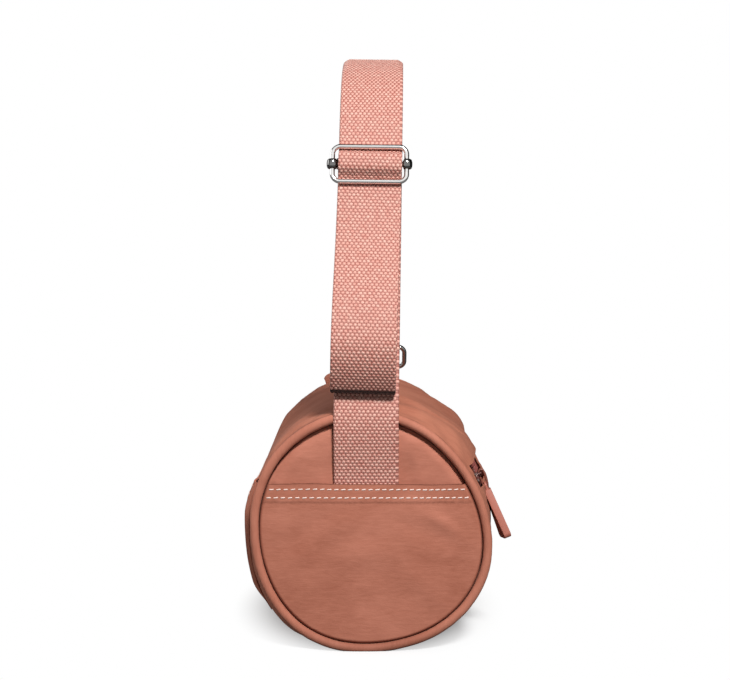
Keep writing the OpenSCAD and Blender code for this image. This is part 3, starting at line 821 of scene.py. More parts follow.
def thread_material(name, light, dark):
    """Twisted thread, paler on the crests of its twist."""
    material, tree = new_material(name)
    twist = noise_over(tree, object_place(tree), 2600)
    inputs = {"Base Color": blend_colours(tree, twist, dark, light), "Roughness": 0.6}
    return finish_surface(material, twist, 1.0, 0.0001, inputs)


pale_thread = thread_material("pale_thread", rgb(250, 232, 224), rgb(226, 192, 180))


def taken_apart(piece):
    """The points and faces of a small shape that is repeated, which is then removed."""
    shape = points(piece)
    faces = [list(face.vertices) for face in piece.data.polygons]
    bpy.data.objects.remove(piece)
    return shape, faces


def repeated(name, shape, faces, places):
    """One piece of many copies of a shape, each put in its place by a function."""
    verts, corners = [], []
    for put in places:
        start = len(verts)
        verts += [put(*point) for point in shape]
        corners += [[start + i for i in face] for face in faces]
    mesh = bpy.data.meshes.new(name)
    mesh.from_pydata(verts, [], corners)
    piece = bpy.data.objects.new(name, mesh)
    bpy.context.scene.collection.objects.link(piece)
    with editing(piece):
        bpy.ops.mesh.normals_make_consistent(inside=False)
    return piece


def single_stitch():
    """A short thread with rounded ends, one long each way and one thick each way."""
    bpy.ops.mesh.primitive_cylinder_add(vertices=6, radius=1, depth=2, end_fill_type="NGON")
    piece = just_added("stitch")
    with editing(piece, chosen=lambda face: abs(face.normal.z) > 0.9):
        bpy.ops.mesh.inset(thickness=0.45, depth=0.0, use_individual=True)
    shape, faces = taken_apart(piece)
    flat = np.abs(shape[:, 2]) > 0.99
    inner = np.hypot(shape[:, 0], shape[:, 1]) < 0.8
    shape[flat & ~inner, 2] *= 0.72
    return shape, faces


stitch_shape, stitch_faces = single_stitch()


def stitch_at(middle, half, normal):
    """Puts one stitch at its middle, along its half length and square to its normal."""
    middle, half = Vector(sagged([middle])[0]), Vector(half)
    along = half.normalized()
    aside = along.cross(Vector(normal).normalized()).normalized()
    normal = aside.cross(along)

    def put(x, y, z):
        rise = normal * (-THREAD_R * 0.9 * z * z)
        return tuple(middle + half * z + aside * (x * THREAD_R) + normal * (y * THREAD_R) + rise)

    return put


def stitching(name, places):
    """A run of stitches, each given by its middle, its half length and its outward normal."""
    piece = repeated(name, stitch_shape, stitch_faces, [stitch_at(*place) for place in places])
    finish_piece(piece, pale_thread, "bag", angle=60)


for side, end in ENDS:
    places = []
    for row in STITCH_ROWS:
        height = POCKET_TOP - row
        half_width = math.sqrt((PANEL_R - 0.0004) ** 2 - height**2)
        count = int(2 * half_width / STITCH_PITCH)
        for i in range(count):
            x = (i - (count - 1) / 2) * STITCH_PITCH
            out = pocket_face(x, height, end) + STITCH_RISE
            slant = 0.00022 * (1 if i % 2 else 0.6) * -end
            places.append(((x, end * out, AXIS_Z + height), (STITCH_HALF, 0, slant), (0, end, 0)))
    stitching("pocket_stitching_" + side, places)


# Carrying strap
# Heavy webbing in a nubbly plain weave. It comes up from behind the near pocket, leads over the
# crown to the ring at the far end, and turns back round the ring's upper bar.
WEB_W = 0.038
WEB_T = 0.0022
WEB_BUMP = 0.00019
WEB_PITCH = 0.002533
WEB_REPEAT = 0.0039
WEB_COLUMNS = 60
WEB_EDGE_BUMP = 0.00012
STRAP_SIDE = 0.0026
STRAP_YAW = math.radians(-1.227)
STRAP_TILT = math.radians(0.75)
STRAP_LEAN = math.radians(13.2)
CROWN_H = 0.283
CROWN_DROOP = 0.0018
LEG_TOP = 0.220
WEB_TUCK_Y = 0.1168
FOOT_Y = 0.1214
FOOT_H = 0.070
RING_H = 0.0835
RING_BAR = 0.0074
WRAP_R = 0.0029


def weave_group():
    """Plain weave of thick yarn: rounded crowns in staggered rows, with gaps between them that get
    painted shade in the webbing's colour.
    """
    group, place = new_group("webbing_weave")
    sway = add_node(group, "TexNoise", {"Vector": place, "Scale": 420, "Detail": 1}).outputs["Color"]
    inputs = {0: sway, 1: (0.0005, 0.0005, 0), 2: place}
    shifted = add_node(group, "VectorMath", inputs, operation="MULTIPLY_ADD").outputs[0]
    parts = add_node(group, "SeparateXYZ", {0: shifted}).outputs
    across, along, rows = (
        maths(group, "COSINE", maths(group, "MULTIPLY", parts[way], 2 * math.pi / pitch))
        for way, pitch in (("X", WEB_PITCH), ("Y", WEB_REPEAT), ("Y", WEB_REPEAT / 2))
    )
    crown = maths(group, "MULTIPLY_ADD", maths(group, "MULTIPLY", across, along), 0.34, 0.46)
    crown = maths(group, "MULTIPLY_ADD", rows, 0.16, crown)
    strand = noise_over(group, mapped(group, place, Scale=(4200, 900, 1)), 1, 3)
    return put_out(group, Crown=crown, Strand=strand, Tone=noise_over(group, place, 310, 2))


webbing_weave = weave_group()
# Near black painted shade round the bottom of the loose end's fold.
FOLD_SHADE = rgb(30, 14, 12)


def webbing_material(name, crown_light, crown_dark, gap):
    """Yarn colour on the crowns of the weave and painted shade in its gaps, with near black painted
    shade where a piece is marked.
    """
    material, tree = new_material(name)
    weave = add_node(tree, "Group", node_tree=webbing_weave)
    set_input(tree, weave.inputs["Place"], add_node(tree, "UVMap", uv_map="weave").outputs[0])
    tone, crown, strand = (weave.outputs[key] for key in ("Tone", "Crown", "Strand"))
    yarn = blend_colours(tree, share_of(tree, tone, 0.33, 0.67), crown_dark, crown_light)
    # Painted shade in the gaps between the crowns.
    woven_with_painted_shade = blend_colours(tree, share_of(tree, crown, 0.08, 0.64, "SMOOTHSTEP"), gap, yarn)
    inputs = {
        "Base Color": blend_colours(tree, painted_shade_mark(tree), woven_with_painted_shade, FOLD_SHADE),
        "Roughness": maths(tree, "MULTIPLY_ADD", strand, 0.2, 0.38),
        "Specular IOR Level": 0.3,
        "Sheen Weight": 0.1,
    }
    height = maths(tree, "MULTIPLY_ADD", strand, 0.35, crown)
    return finish_surface(material, height, 1.0, 0.0005, inputs)


# The last colour is painted shade for the gaps between the yarns.
rose_webbing = webbing_material("rose_webbing", rgb(235, 184, 168), rgb(222, 158, 143), rgb(134, 54, 44))


def soften(path, cut):
    """Rounds the corners of a path of [y, h] points."""
    found = [Vector(path[0])]
    for i in range(1, len(path) - 1):
        before, here, after = (Vector(path[j]) for j in (i - 1, i, i + 1))
        back = min(cut, (here - before).length * 0.45)
        on = min(cut, (after - here).length * 0.45)
        start = here + (before - here).normalized() * back
        end = here + (after - here).normalized() * on
        for step in range(7):
            t = step / 6
            found.append(start * (1 - t) ** 2 + here * 2 * t * (1 - t) + end * t * t)
    found.append(Vector(path[-1]))
    return found


def spaced(path, gap):
    """Points along a path, an even gap apart, and the path's length."""
    places = np.array([tuple(p) for p in path])
    steps = np.linalg.norm(np.diff(places, axis=0), axis=1)
    run = np.concatenate([[0], np.cumsum(steps)])
    count = max(2, int(round(run[-1] / gap)) + 1)
    even = np.linspace(0, run[-1], count)
    return np.stack([np.interp(even, run, places[:, k]) for k in range(2)], axis=1), run[-1]


def lay_weave(piece, weave):
    """Keeps a place across and along the cloth for each point, as the piece's UV map."""
    layer = piece.data.uv_layers[0]
    layer.name = "weave"
    corners = np.zeros(len(piece.data.loops), int)
    piece.data.loops.foreach_get("vertex_index", corners)
    layer.data.foreach_set("uv", np.asarray(weave)[corners].ravel())


def webbing_section():
    """Points round the webbing: across, through, and 1 on its face, -1 on its back, 0 on an edge."""
    half = WEB_T / 2 - WEB_BUMP
    flat = WEB_W / 2 - half - 0.0002
    section = []
    for face in (1, -1):
        for i in range(WEB_COLUMNS + 1):
            section.append((face * (-flat + 2 * flat * i / WEB_COLUMNS), face * half, face))
        for i in range(1, 4):
            turn = face * math.pi / 2 - math.pi * i / 4
            section.append((face * flat + half * math.cos(turn), half * math.sin(turn), 0))
    return section


def webbing(name, path, place, body, start_v=0.0, row=0.00105, cut=0.008):
    """A closed strip of webbing along a path of [y, h] points, put in the model by place(x, y, h)."""
    places, length = spaced(soften(path, cut), row)
    rows = len(places)
    run = start_v + np.linspace(0, length, rows)
    heading = np.gradient(places, axis=0)
    heading /= np.linalg.norm(heading, axis=1, keepdims=True)
    normal = np.stack([heading[:, 1], -heading[:, 0]], axis=1)
    section = webbing_section()
    around = len(section)
    bpy.ops.mesh.primitive_grid_add(x_subdivisions=around, y_subdivisions=rows - 1, size=2)
    piece = just_added(name)
    grid = points(piece)
    column_of = np.rint((grid[:, 0] + 1) / 2 * around).astype(int)
    row_of = np.rint((grid[:, 1] + 1) / 2 * (rows - 1)).astype(int)
    placed = np.zeros_like(grid)
    weave = np.zeros((len(grid), 2))
    for k, (c, r) in enumerate(zip(column_of, row_of)):
        x, through, face = section[c % around]
        repeat = 2 * math.pi * run[r] / WEB_REPEAT
        if face:
            through += WEB_BUMP * math.cos(2 * math.pi * x / WEB_PITCH) * math.cos(repeat)
        else:
            through += WEB_EDGE_BUMP * math.copysign(1, through if through else 1) * math.cos(2 * repeat)
        y, h = places[r] + normal[r] * through
        placed[k] = place(x, y, h)
        weave[k] = (x if face >= 0 else x + WEB_PITCH / 2, run[r])
    move_points(piece, placed)
    lay_weave(piece, weave)
    with editing(piece):
        bpy.ops.mesh.remove_doubles(threshold=0.00001)
        bpy.ops.mesh.fill_holes(sides=0)
        bpy.ops.mesh.normals_make_consistent(inside=False)
    finish_piece(piece, rose_webbing, body, angle=80)
    return piece, length


def leg_y(h):
    return FOOT_Y - (h - FOOT_H) * math.tan(STRAP_LEAN)


def turned(a, b, angle):
    """Two coordinates turned by an angle."""
    return a * math.cos(angle) - b * math.sin(angle), a * math.sin(angle) + b * math.cos(angle)


def standing(x, y, h):
    """The turned and slightly tilted plane of the standing strap."""
    tilted_x, tilted_h = turned(x, h - FOOT_H, -STRAP_TILT)
    return np.array((*turned(tilted_x, y, STRAP_YAW), AXIS_Z + FOOT_H + tilted_h))


def from_foot(x, y, h):
    """Square to the bag where the webbing is sewn in, and turned from there to the standing strap."""
    h -= CROWN_DROOP * smoothstep(0.0150, 0.0192, abs(x)) * smoothstep(0.268, 0.282, h)
    share = smoothstep(0.050, 0.074, h)
    sewn_in = np.array((x + math.copysign(STRAP_SIDE, y), y, AXIS_Z + h))
    return sewn_in * (1 - share) + standing(x, y, h) * share


def curve(a, b, c, d, steps=40):
    """Points along a curve between a and d, led by b and c, without its first one."""
    a, b, c, d = (Vector(p) for p in (a, b, c, d))
    return [
        a * (1 - t) ** 3 + b * 3 * t * (1 - t) ** 2 + c * 3 * t * t * (1 - t) + d * t**3
        for t in (i / steps for i in range(1, steps + 1))
    ]


def far_point(out, up):
    """A point beside the far leg, outwards and upwards from the middle of the ring."""
    y, h = turned(out, up, STRAP_LEAN)
    return (leg_y(RING_H) + y, RING_H + h)


def round_bar(bar, way):
    """Half a turn of webbing round a bar of the ring."""
    turns = (way * math.pi * i / 16 for i in range(17))
    return [far_point(WRAP_R * (math.cos(a) - 1), bar + WRAP_R * math.sin(a)) for a in turns]


foot = [(WEB_TUCK_Y, -0.022), (WEB_TUCK_Y, 0.030), (FOOT_Y, 0.0586), (FOOT_Y, FOOT_H)]
crown = curve(
    (-leg_y(LEG_TOP), LEG_TOP), (-leg_y(0.2578), 0.2578), (-0.04483, CROWN_H), (0, CROWN_H)
)
strap_path = [(-y, h) for y, h in foot]
strap_path += [(-leg_y(LEG_TOP), LEG_TOP)] + [tuple(p) for p in crown]
strap_path += [(-p[0], p[1]) for p in reversed(crown[:-1])] + [(leg_y(LEG_TOP), LEG_TOP)]
strap_path += round_bar(RING_BAR, -1)
strap_path += [far_point(-0.0025, RING_BAR + 0.0116), far_point(-0.0025, RING_BAR + 0.034)]
strap, strap_length = webbing("strap_webbing", strap_path, from_foot, "bag")
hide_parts("strap")


# Strap tab at the far end
# A short length of the same webbing, sewn in behind the far pocket and turned over the lower
# bar of the ring.
TAB_START_V = 0.0006

tab_path = foot + round_bar(-RING_BAR, 1) + [far_point(-2 * WRAP_R, -RING_BAR - 0.0022)]
tab, tab_length = webbing("far_tab_webbing", tab_path, from_foot, "bag", TAB_START_V, cut=0.004)
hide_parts("far_strap_tab")


# Loose end of the strap
# The strap's own end, laid over the middle bar of its slider from outside and hanging in front
# of the near leg. Its end is turned up in a soft fold.
SLIDER_H = 0.213
TAIL_START_V = 0.0011
TAIL_SWING = math.radians(0.85)
PLY = 0.0025
OVER = 0.00865
BARS = 0.01055
TAIL_LEN = 0.1362
TAIL_BOW = 0.0215
TAIL_RETURN = 0.038
FOLD_R = 0.0028
FOLD_START = math.radians(-55)


def at_slider(x, y, s):
    """The strap slider's own frame: s up along the strap, -y outwards."""
    out, up = turned(y, s, -STRAP_LEAN)
    return standing(x, -leg_y(SLIDER_H) + out, SLIDER_H + up)


def hanging(x, y, s):
    """The slider's frame, swung a little to the side as the loose end hangs."""
    swung_x, swung_s = turned(x, s, -TAIL_SWING)
    return at_slider(swung_x, y, swung_s)


fold_mid = Vector((PLY + FOLD_R, -TAIL_LEN + FOLD_R + WEB_T / 2))
bow_place = Vector((PLY + TAIL_BOW, -TAIL_LEN * 0.775))
into_fold = Vector((math.cos(FOLD_START), math.sin(FOLD_START)))
heading = Vector((math.sin(FOLD_START), -math.cos(FOLD_START)))
fold_top = fold_mid + into_fold * FOLD_R
tail = [(PLY, 0.012), (PLY, BARS)]
tail += curve((PLY, BARS), (PLY, BARS * 0.5), (OVER, BARS * 0.64), (OVER, BARS * 0.3), 14)
tail += [(OVER, -BARS * 0.1)]
tail += curve((OVER, -BARS * 0.1), (OVER, -BARS * 0.5), (PLY, -BARS * 0.5), (PLY, -BARS), 14)
tail += curve((PLY, -BARS), (PLY, -TAIL_LEN * 0.40), (PLY + TAIL_BOW, -TAIL_LEN * 0.56), bow_place, 30)
tail += curve(bow_place, bow_place - Vector((0, 0.011)), fold_top - heading * 0.012, fold_top, 24)
fold_run = sum(math.dist(a, b) for a, b in zip(tail, tail[1:]))
tail += [
    fold_mid + Vector((math.cos(a), math.sin(a))) * FOLD_R
    for a in (FOLD_START - (math.pi + FOLD_START) * i / 14 for i in range(1, 15))
]
tail += [(PLY, -TAIL_LEN + TAIL_RETURN)]
tail_path = [(-p[0], p[1]) for p in tail]
loose_end, tail_length = webbing(
    "loose_end_webbing", tail_path, hanging, "strap_slider", TAIL_START_V, cut=0.004
)


def fold_painted_shade(run):
    """How much painted shade a place along the loose end gets round the bottom of its fold."""
    into = smoothstep(fold_run - 0.0026, fold_run - 0.0008, run)
    return into * (1 - smoothstep(fold_run + 0.003, fold_run + 0.007, run))


# Painted shade on the loose end round the bottom of its fold, by its run along the webbing.
run = np.zeros(len(loose_end.data.vertices))
for corner, place in zip(loose_end.data.loops, loose_end.data.uv_layers["weave"].uv):
    run[corner.vertex_index] = place.vector[1] - TAIL_START_V
mark_painted_shade(loose_end, [fold_painted_shade(r) for r in run])
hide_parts("strap_tail")


# Side pocket
# A slip pocket of the nylon along the side away from the zip. Its ends and its lower edge are
# turned in and sewn flat, and it gapes a little at the near end of its mouth.
SIDE_TOP = math.radians(158)
SIDE_BOTTOM = math.radians(220)
SIDE_HALF_LEN = 0.1
SIDE_T = 0.0011
SIDE_BELLY = 0.0036
SIDE_GAPE = 0.0012
SIDE_FOLDS = 0.0009
SIDE_HEM_T = 0.0003

# Close to the wall's colour, a little lighter: painted light.
side_nylon = nylon("side_nylon", rgb(186, 119, 98), rgb(163, 99, 79), (math.pi / 2, 0, 0))


def side_radius(turn, along):
    """Radius of the side pocket's face at an angle round the barrel and a place along it."""
    reach = WALL_R * (turn - SIDE_TOP)
    to_bottom = WALL_R * (SIDE_BOTTOM - turn)
    to_end = SIDE_HALF_LEN - abs(along)
    seam = smoothstep(0, 0.006, min(to_bottom, to_end + 0.0015))
    slack = smoothstep(0.0, 0.020, reach) * smoothstep(0, 0.018, to_bottom)
    rise = SIDE_GAPE * math.exp(-(((along + 0.094) / 0.010) ** 2)) * (1 - smoothstep(0.0, 0.024, reach))
    rise += SIDE_BELLY * (0.55 + 0.45 * math.cos((along + 0.07) * 14)) * slack
    rise += SIDE_FOLDS * ripple((turn * 0.03, along, 0.5), 42, 8.8) * slack + 0.0003 * slack
    hem = SIDE_HEM_T * (1 - smoothstep(HEM_H, HEM_H + 0.0008, reach)) * smoothstep(0, 0.003, to_end)
    return wall_radius(turn - ZIP_ANGLE, along) + 0.85 * SIDE_T + rise * seam + hem


bpy.ops.mesh.primitive_grid_add(x_subdivisions=72, y_subdivisions=180, size=2)
side_pocket = just_added("side_pocket_panel")
placed = []
for u, v, _ in points(side_pocket):
    turn = SIDE_TOP + (SIDE_BOTTOM - SIDE_TOP) * (u + 1) / 2
    along = SIDE_HALF_LEN * v
    placed.append(round_axis(side_radius(turn, along), turn, along))
move_points(side_pocket, sagged(placed))
with editing(side_pocket):
    bpy.ops.mesh.flip_normals()
modify(side_pocket, "SOLIDIFY", thickness=SIDE_T, offset=-1)
finish_piece(side_pocket, side_nylon, "bag")
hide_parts("side_pocket")

places = []
for row in STITCH_ROWS:
    turn = SIDE_TOP + row / WALL_R
    count = int(2 * (SIDE_HALF_LEN - 0.002) / STITCH_PITCH)
    for i in range(count):
        along = (i - (count - 1) / 2) * STITCH_PITCH
        middle = round_axis(side_radius(turn, along) + STITCH_RISE, turn, along)
        places.append((middle, (0, STITCH_HALF, 0.0001), (math.cos(turn), 0, math.sin(turn))))
stitching("side_pocket_stitching", places)


# Side loop
# A folded loop of the nylon, sewn on beside the far seam.
LOOP_ANGLE = math.radians(110)
LOOP_W = 0.014
LOOP_R = 0.0022
LOOP_T = 0.0016
LOOP_Y = 0.1115
LOOP_BASE = 0.0696
LOOP_RISE = 0.006
LOOP_ROUNDING = 0.0004

bpy.ops.mesh.primitive_grid_add(x_subdivisions=14, y_subdivisions=40, size=2)
loop = just_added("side_loop_fold")
profile = [(-0.0008 - LOOP_R, 0.0), (-0.0004 - LOOP_R, LOOP_RISE * 0.5)]
profile += [
    (-LOOP_R * math.cos(a) * 1.02, LOOP_RISE - LOOP_R - LOOP_T / 2 + LOOP_R * math.sin(a))
    for a in (math.pi * i / 12 for i in range(13))
]
profile += [(0.0004 + LOOP_R, LOOP_RISE * 0.5), (0.0008 + LOOP_R, 0.0)]
even, _ = spaced(soften(profile, 0.001), 0.0004)
placed = []
for u, v, _ in points(loop):
    at = (v + 1) / 2 * (len(even) - 1)
    low = min(int(at), len(even) - 2)
    step = even[low] + (even[low + 1] - even[low]) * (at - low)
    across = u * LOOP_W / 2 * (1 - 0.06 * math.sin(math.pi * (v + 1) / 2))
    radius = LOOP_BASE + step[1] * (1 - 0.3 * abs(u) ** 5) + LOOP_T / 2
    placed.append(round_axis(radius, LOOP_ANGLE + across / radius, LOOP_Y + step[0]))
move_points(loop, placed)
thicken(loop, LOOP_T, offset=0)
modify(loop, "BEVEL", width=LOOP_ROUNDING, segments=2)
finish_piece(loop, panel_nylon, "bag")
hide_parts("side_loop")


# Zip
# A moulded tooth zip on woven tapes, sewn under the edges of the wall's slot. The bag puffs it
# out a little between its ends.
TAPE_R = 0.06745
TAPE_T = 0.0006
TAPE_EDGE = 0.00322
TAPE_SEEN_W = 0.0118
TAPE_HALF_LEN = 0.109
TOOTH_PITCH = 0.0028
TOOTH_FIRST = -0.09108
TOOTH_COUNT = 69
TOOTH_T = 0.0024
TOOTH_ROUNDING = 0.00016


def tape_material(name, light, dark):
    """Woven zip tape: a fine herringbone with a slightly paler grain."""
    material, tree = new_material(name)
    weave = add_node(tree, "UVMap", uv_map="weave").outputs[0]
    parts = add_node(tree, "SeparateXYZ", {0: weave}).outputs
    slant = maths(tree, "ADD", parts["Y"], maths(tree, "PINGPONG", parts["X"], 0.0008))
    rib = maths(tree, "SINE", maths(tree, "MULTIPLY", slant, 2 * math.pi / 0.0006))
    rib = maths(tree, "MULTIPLY_ADD", rib, 0.5, 0.5)
    inputs = {"Base Color": blend_colours(tree, rib, dark, light), "Roughness": 0.7}
    return finish_surface(material, rib, 0.5, 0.0002, inputs)


maroon_tape = tape_material("maroon_tape", rgb(134, 74, 68), rgb(104, 54, 52))


def zip_tape(name, node, side):
    bpy.ops.mesh.primitive_grid_add(x_subdivisions=24, y_subdivisions=200, size=2)
    piece = just_added(name)
    placed, weave = [], []
    for u, v, _ in points(piece):
        across = side * (TAPE_EDGE + TAPE_SEEN_W * (u + 1) / 2)
        along = TAPE_HALF_LEN * v
        off = math.asin(across / TAPE_R)
        radius = TAPE_R + zip_swell(off, along) + 0.00012 * ripple((across, along, 0), 160, 4.4)
        placed.append(round_axis(radius, ZIP_ANGLE + off, along))
        weave.append((across, along))
    move_points(piece, placed)
    lay_weave(piece, weave)
    thicken(piece, TAPE_T, offset=0)
    finish_piece(piece, maroon_tape, "bag")
    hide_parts(node)


zip_tape("zip_tape_above", "zip_tape_upper", 1)
zip_tape("zip_tape_below", "zip_tape_lower", -1)


def moulded(name, light, dark, roughness, scale=900, metallic=0.0):
    """A moulded or cast surface, faintly mottled, with a little roughness of its own."""
    material, tree = new_material(name)
    grain = noise_over(tree, object_place(tree), scale, 4)
    inputs = {
        "Base Color": blend_colours(tree, grain, dark, light),
        "Roughness": maths(tree, "MULTIPLY_ADD", grain, 0.16, roughness - 0.08),
        "Metallic": metallic,
    }
    return finish_surface(material, grain, 0.15, 0.0001, inputs)


tooth_resin = moulded("tooth_resin", rgb(158, 88, 80), rgb(120, 62, 58), 0.35)


def bevel_edges(piece, width, segments, limit):
    """Rounds the edges of a piece that are sharper than a limit in degrees."""
    modify(
        piece,
        "BEVEL",
        width=width,
        segments=segments,
        limit_method="ANGLE",
        angle_limit=math.radians(limit),
        use_clamp_overlap=True,
    )


def single_tooth():
    """One tooth: a block at its root, a neck, and a head past the middle of the chain."""
    half = [
        (0.003, -0.00116), (0.00112, -0.00116), (0.00112, -0.00053), (0.00025, -0.00053),
        (-0.00025, -0.00075), (-0.00075, -0.00075), (-0.001, -0.00035),
    ]
    outline = half + [(x, -y) for x, y in reversed(half)]
    bpy.ops.mesh.primitive_circle_add(vertices=len(outline), radius=0.002, fill_type="NGON")
    piece = just_added("tooth")
    move_points(piece, [(x, y, -TOOTH_T / 2) for x, y in outline])
    with editing(piece):
        bpy.ops.mesh.extrude_region_move(TRANSFORM_OT_translate={"value": (0, 0, TOOTH_T)})
        bpy.ops.mesh.select_all(action="SELECT")
        bpy.ops.mesh.normals_make_consistent(inside=False)
    bevel_edges(piece, TOOTH_ROUNDING, 1, 50)
    return taken_apart(piece)


tooth_shape, tooth_faces = single_tooth()


def tooth_at(along, side):
    """Puts one tooth in the chain, with its root on the tape of its own side."""
    level = TAPE_R + zip_bow(along)

    def put(x, y, z):
        out, up = turned(level + z, side * x, ZIP_ANGLE)
        return (out, along + y, AXIS_Z + up)

    return put


def teeth_row(name, node, side, shift):
    places = [tooth_at(TOOTH_FIRST + shift + i * TOOTH_PITCH, side) for i in range(TOOTH_COUNT)]
    piece = repeated(name, tooth_shape, tooth_faces, places)
    finish_piece(piece, tooth_resin, "bag", angle=35)
    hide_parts(node)


teeth_row("zip_teeth_above", "zip_teeth_upper", 1, 0)
teeth_row("zip_teeth_below", "zip_teeth_lower", -1, TOOTH_PITCH / 2)


# Zip slider, stops, link and puller
# The slider is cast and painted to match, with wear to bright metal on its edges. A wire link
# on its bridge carries a soft moulded puller.
PULLER_TWIST = math.radians(-12)
PULLER_SHIFT = 0.0012
PULLER_NECK = 0.007
PULLER_EASE = 0.016


def rounded_copy(node, name, body, material, width, segments=2, limit=30):
    """A CAD node's shape with its faces joined and its edges rounded."""
    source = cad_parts[node]
    piece = source.copy()
    piece.data = source.data.copy()
    piece.parent = None
    piece.name = name
    for key in list(piece.keys()):
        del piece[key]
    bpy.context.scene.collection.objects.link(piece)
    with editing(piece):
        bpy.ops.mesh.remove_doubles(threshold=0.000005)
        bpy.ops.mesh.dissolve_limited(angle_limit=math.radians(1))
    bevel_edges(piece, width, segments, limit)
    finish_piece(piece, material, body, angle=50)
    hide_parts(node)
    return piece


def painted_metal(name, paint, bright, wear):
    """Painted cast metal, worn to bright metal where its edges rub."""
    material, tree = new_material(name)
    grain = noise_over(tree, object_place(tree), 700, 5)
    edges = add_node(tree, "NewGeometry").outputs["Pointiness"]
    worn = share_of(tree, maths(tree, "MULTIPLY_ADD", grain, 0.16, edges), wear, wear + 0.05)
    inputs = {
        "Base Color": blend_colours(tree, worn, paint, bright),
        "Metallic": worn,
        "Roughness": maths(tree, "MULTIPLY_ADD", grain, 0.2, 0.22),
    }
    return finish_surface(material, grain, 0.1, 0.0001, inputs)


# The slider's paint is darker than the link's as painted shade.
slider_paint = painted_metal("slider_paint", rgb(92, 48, 42), rgb(190, 176, 168), 0.68)
link_paint = painted_metal("link_paint", rgb(126, 70, 57), rgb(190, 176, 168), 0.74)
stop_metal = moulded("stop_metal", rgb(140, 84, 74), rgb(104, 58, 52), 0.35, metallic=0.6)
puller_resin = moulded("puller_resin", rgb(178, 106, 88), rgb(158, 90, 74), 0.5, scale=1400)

rounded_copy("zip_slider", "zip_slider_cast", "zip_runner", slider_paint, 0.0003)
rounded_copy("zip_stops", "zip_stops_pair", "bag", stop_metal, 0.0003)
grip = rounded_copy("puller", "puller_grip", "puller", puller_resin, 0.0007, 3)


def twist_puller(placed):
    """The puller's points, turned about its length and moved off the wall below its neck."""
    middle = placed.mean(axis=0)
    length_way = np.linalg.svd(placed - middle, full_matrices=False)[2][0]
    length_way *= -np.sign(length_way[2])
    run = (placed - middle) @ length_way
    middle[1] = (placed[:, 1].min() + placed[:, 1].max()) / 2
    centre = middle + np.outer(run, length_way)
    aside = np.cross(length_way, (0, 1, 0))
    wide, deep = (placed - centre) @ np.array((0, 1, 0)), (placed - centre) @ aside
    share = eased((run - run.min() - PULLER_NECK) / PULLER_EASE)
    twist = PULLER_TWIST * share
    centre += np.outer(PULLER_SHIFT * share, aside)
    return (
        centre
        + np.outer(wide * np.cos(twist) - deep * np.sin(twist), (0, 1, 0))
        + np.outer(wide * np.sin(twist) + deep * np.cos(twist), aside)
    )


move_points(grip, twist_puller(points(grip)))
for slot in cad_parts["pull_link"].material_slots:
    slot.material = link_paint


# Strap slider and ring
# Bright plated steel wire: a round cornered frame with a middle bar whose ends are bent into
# eyes, and a plain ring at the far end.
EYE_FROM = 0.0188
EYE_EASE = 0.0012
EYE_BROAD = 3.1
# Near black painted shade inside the eyes of the slider's middle bar.
EYE_SHADE = rgb(48, 46, 45)


def plated_steel(name, colour, shade):
    """Plated wire with fine drawn scratches along it, and painted shade inside its bends where it is
    marked.
    """
    material, tree = new_material(name)
    grain = noise_over(tree, mapped(tree, object_place(tree), Scale=(120, 1800, 1800)), 1, 4)
    plate = blend_colours(tree, grain, shade, colour)
    inputs = {
        "Base Color": blend_colours(tree, painted_shade_mark(tree), plate, EYE_SHADE),
        "Roughness": maths(tree, "MULTIPLY_ADD", grain, 0.08, 0.04),
        "Metallic": 1.0,
    }
    return finish_surface(material, grain, 0.06, 0.0001, inputs)


bright_wire = plated_steel("bright_wire", rgb(246, 245, 243), rgb(222, 221, 219))
# A darker copy of the same plated steel for the far ring: painted dark reflections.
ring_wire = plated_steel("ring_wire", rgb(170, 168, 166), rgb(96, 95, 94))
middle_bar = rounded_copy(
    "slider_bar", "slider_bar_wire", "strap_slider", bright_wire, 0.0002, 1, 60
)
bar_middle = at_slider(0, 0, 0)
up_strap = at_slider(0, 0, 1) - bar_middle
across_strap = at_slider(1, 0, 0) - bar_middle
placed = points(middle_bar)
aside = np.abs((placed - bar_middle) @ across_strap)
in_eye = np.clip((aside - EYE_FROM) / EYE_EASE, 0, 1)
spread = (placed - bar_middle) @ up_strap * in_eye * (EYE_BROAD - 1)
move_points(middle_bar, placed + np.outer(spread, up_strap))
# Painted shade inside the eyes.
mark_painted_shade(middle_bar, 0.8 * in_eye)
for node, wire in (("slider_frame", bright_wire), ("far_ring", ring_wire)):
    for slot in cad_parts[node].material_slots:
        slot.material = wire


# Camera, lamps and floor
# A level view of the near end from a metre away, in soft light from the front and above on a
# white sweep.
ROOM_LIGHT = 0.13
DARK_ROOM = 0.02
PLAIN_WHITE = (1, 1, 1, 1)

camera_data = bpy.data.cameras.new("camera")
camera_data.lens = 79.58
camera_data.sensor_width = 36
camera_data.shift_y = -0.0662
camera = bpy.data.objects.new("camera", camera_data)
bpy.context.scene.collection.objects.link(camera)
camera.location = (-0.00566, -1.04544, 0.25072)
camera.rotation_euler = (math.radians(90 - 2.58), 0, math.radians(-0.15))
bpy.context.scene.camera = camera


def lamp(name, place, aim, size, power):
    """A round soft lamp at a place, turned to its aim."""
    data = bpy.data.lights.new(name, "AREA")
    data.shape = "DISK"
    data.size = size
    data.energy = power
    piece = bpy.data.objects.new(name, data)
    bpy.context.scene.collection.objects.link(piece)
    piece.location = place
    piece.rotation_euler = (Vector(aim) - Vector(place)).to_track_quat("-Z", "Y").to_euler()


lamp("front_lamp", (0.35, -1.42, 1.45), (0, 0, 0.12), 0.36, 46)
lamp("back_lamp", (-0.7, 1.3, 1.2), (0, 0, 0.1), 1.0, 3)
lamp("side_lamp", (-1.4, 0.25, 0.75), (0, 0, 0.08), 1.0, 7)


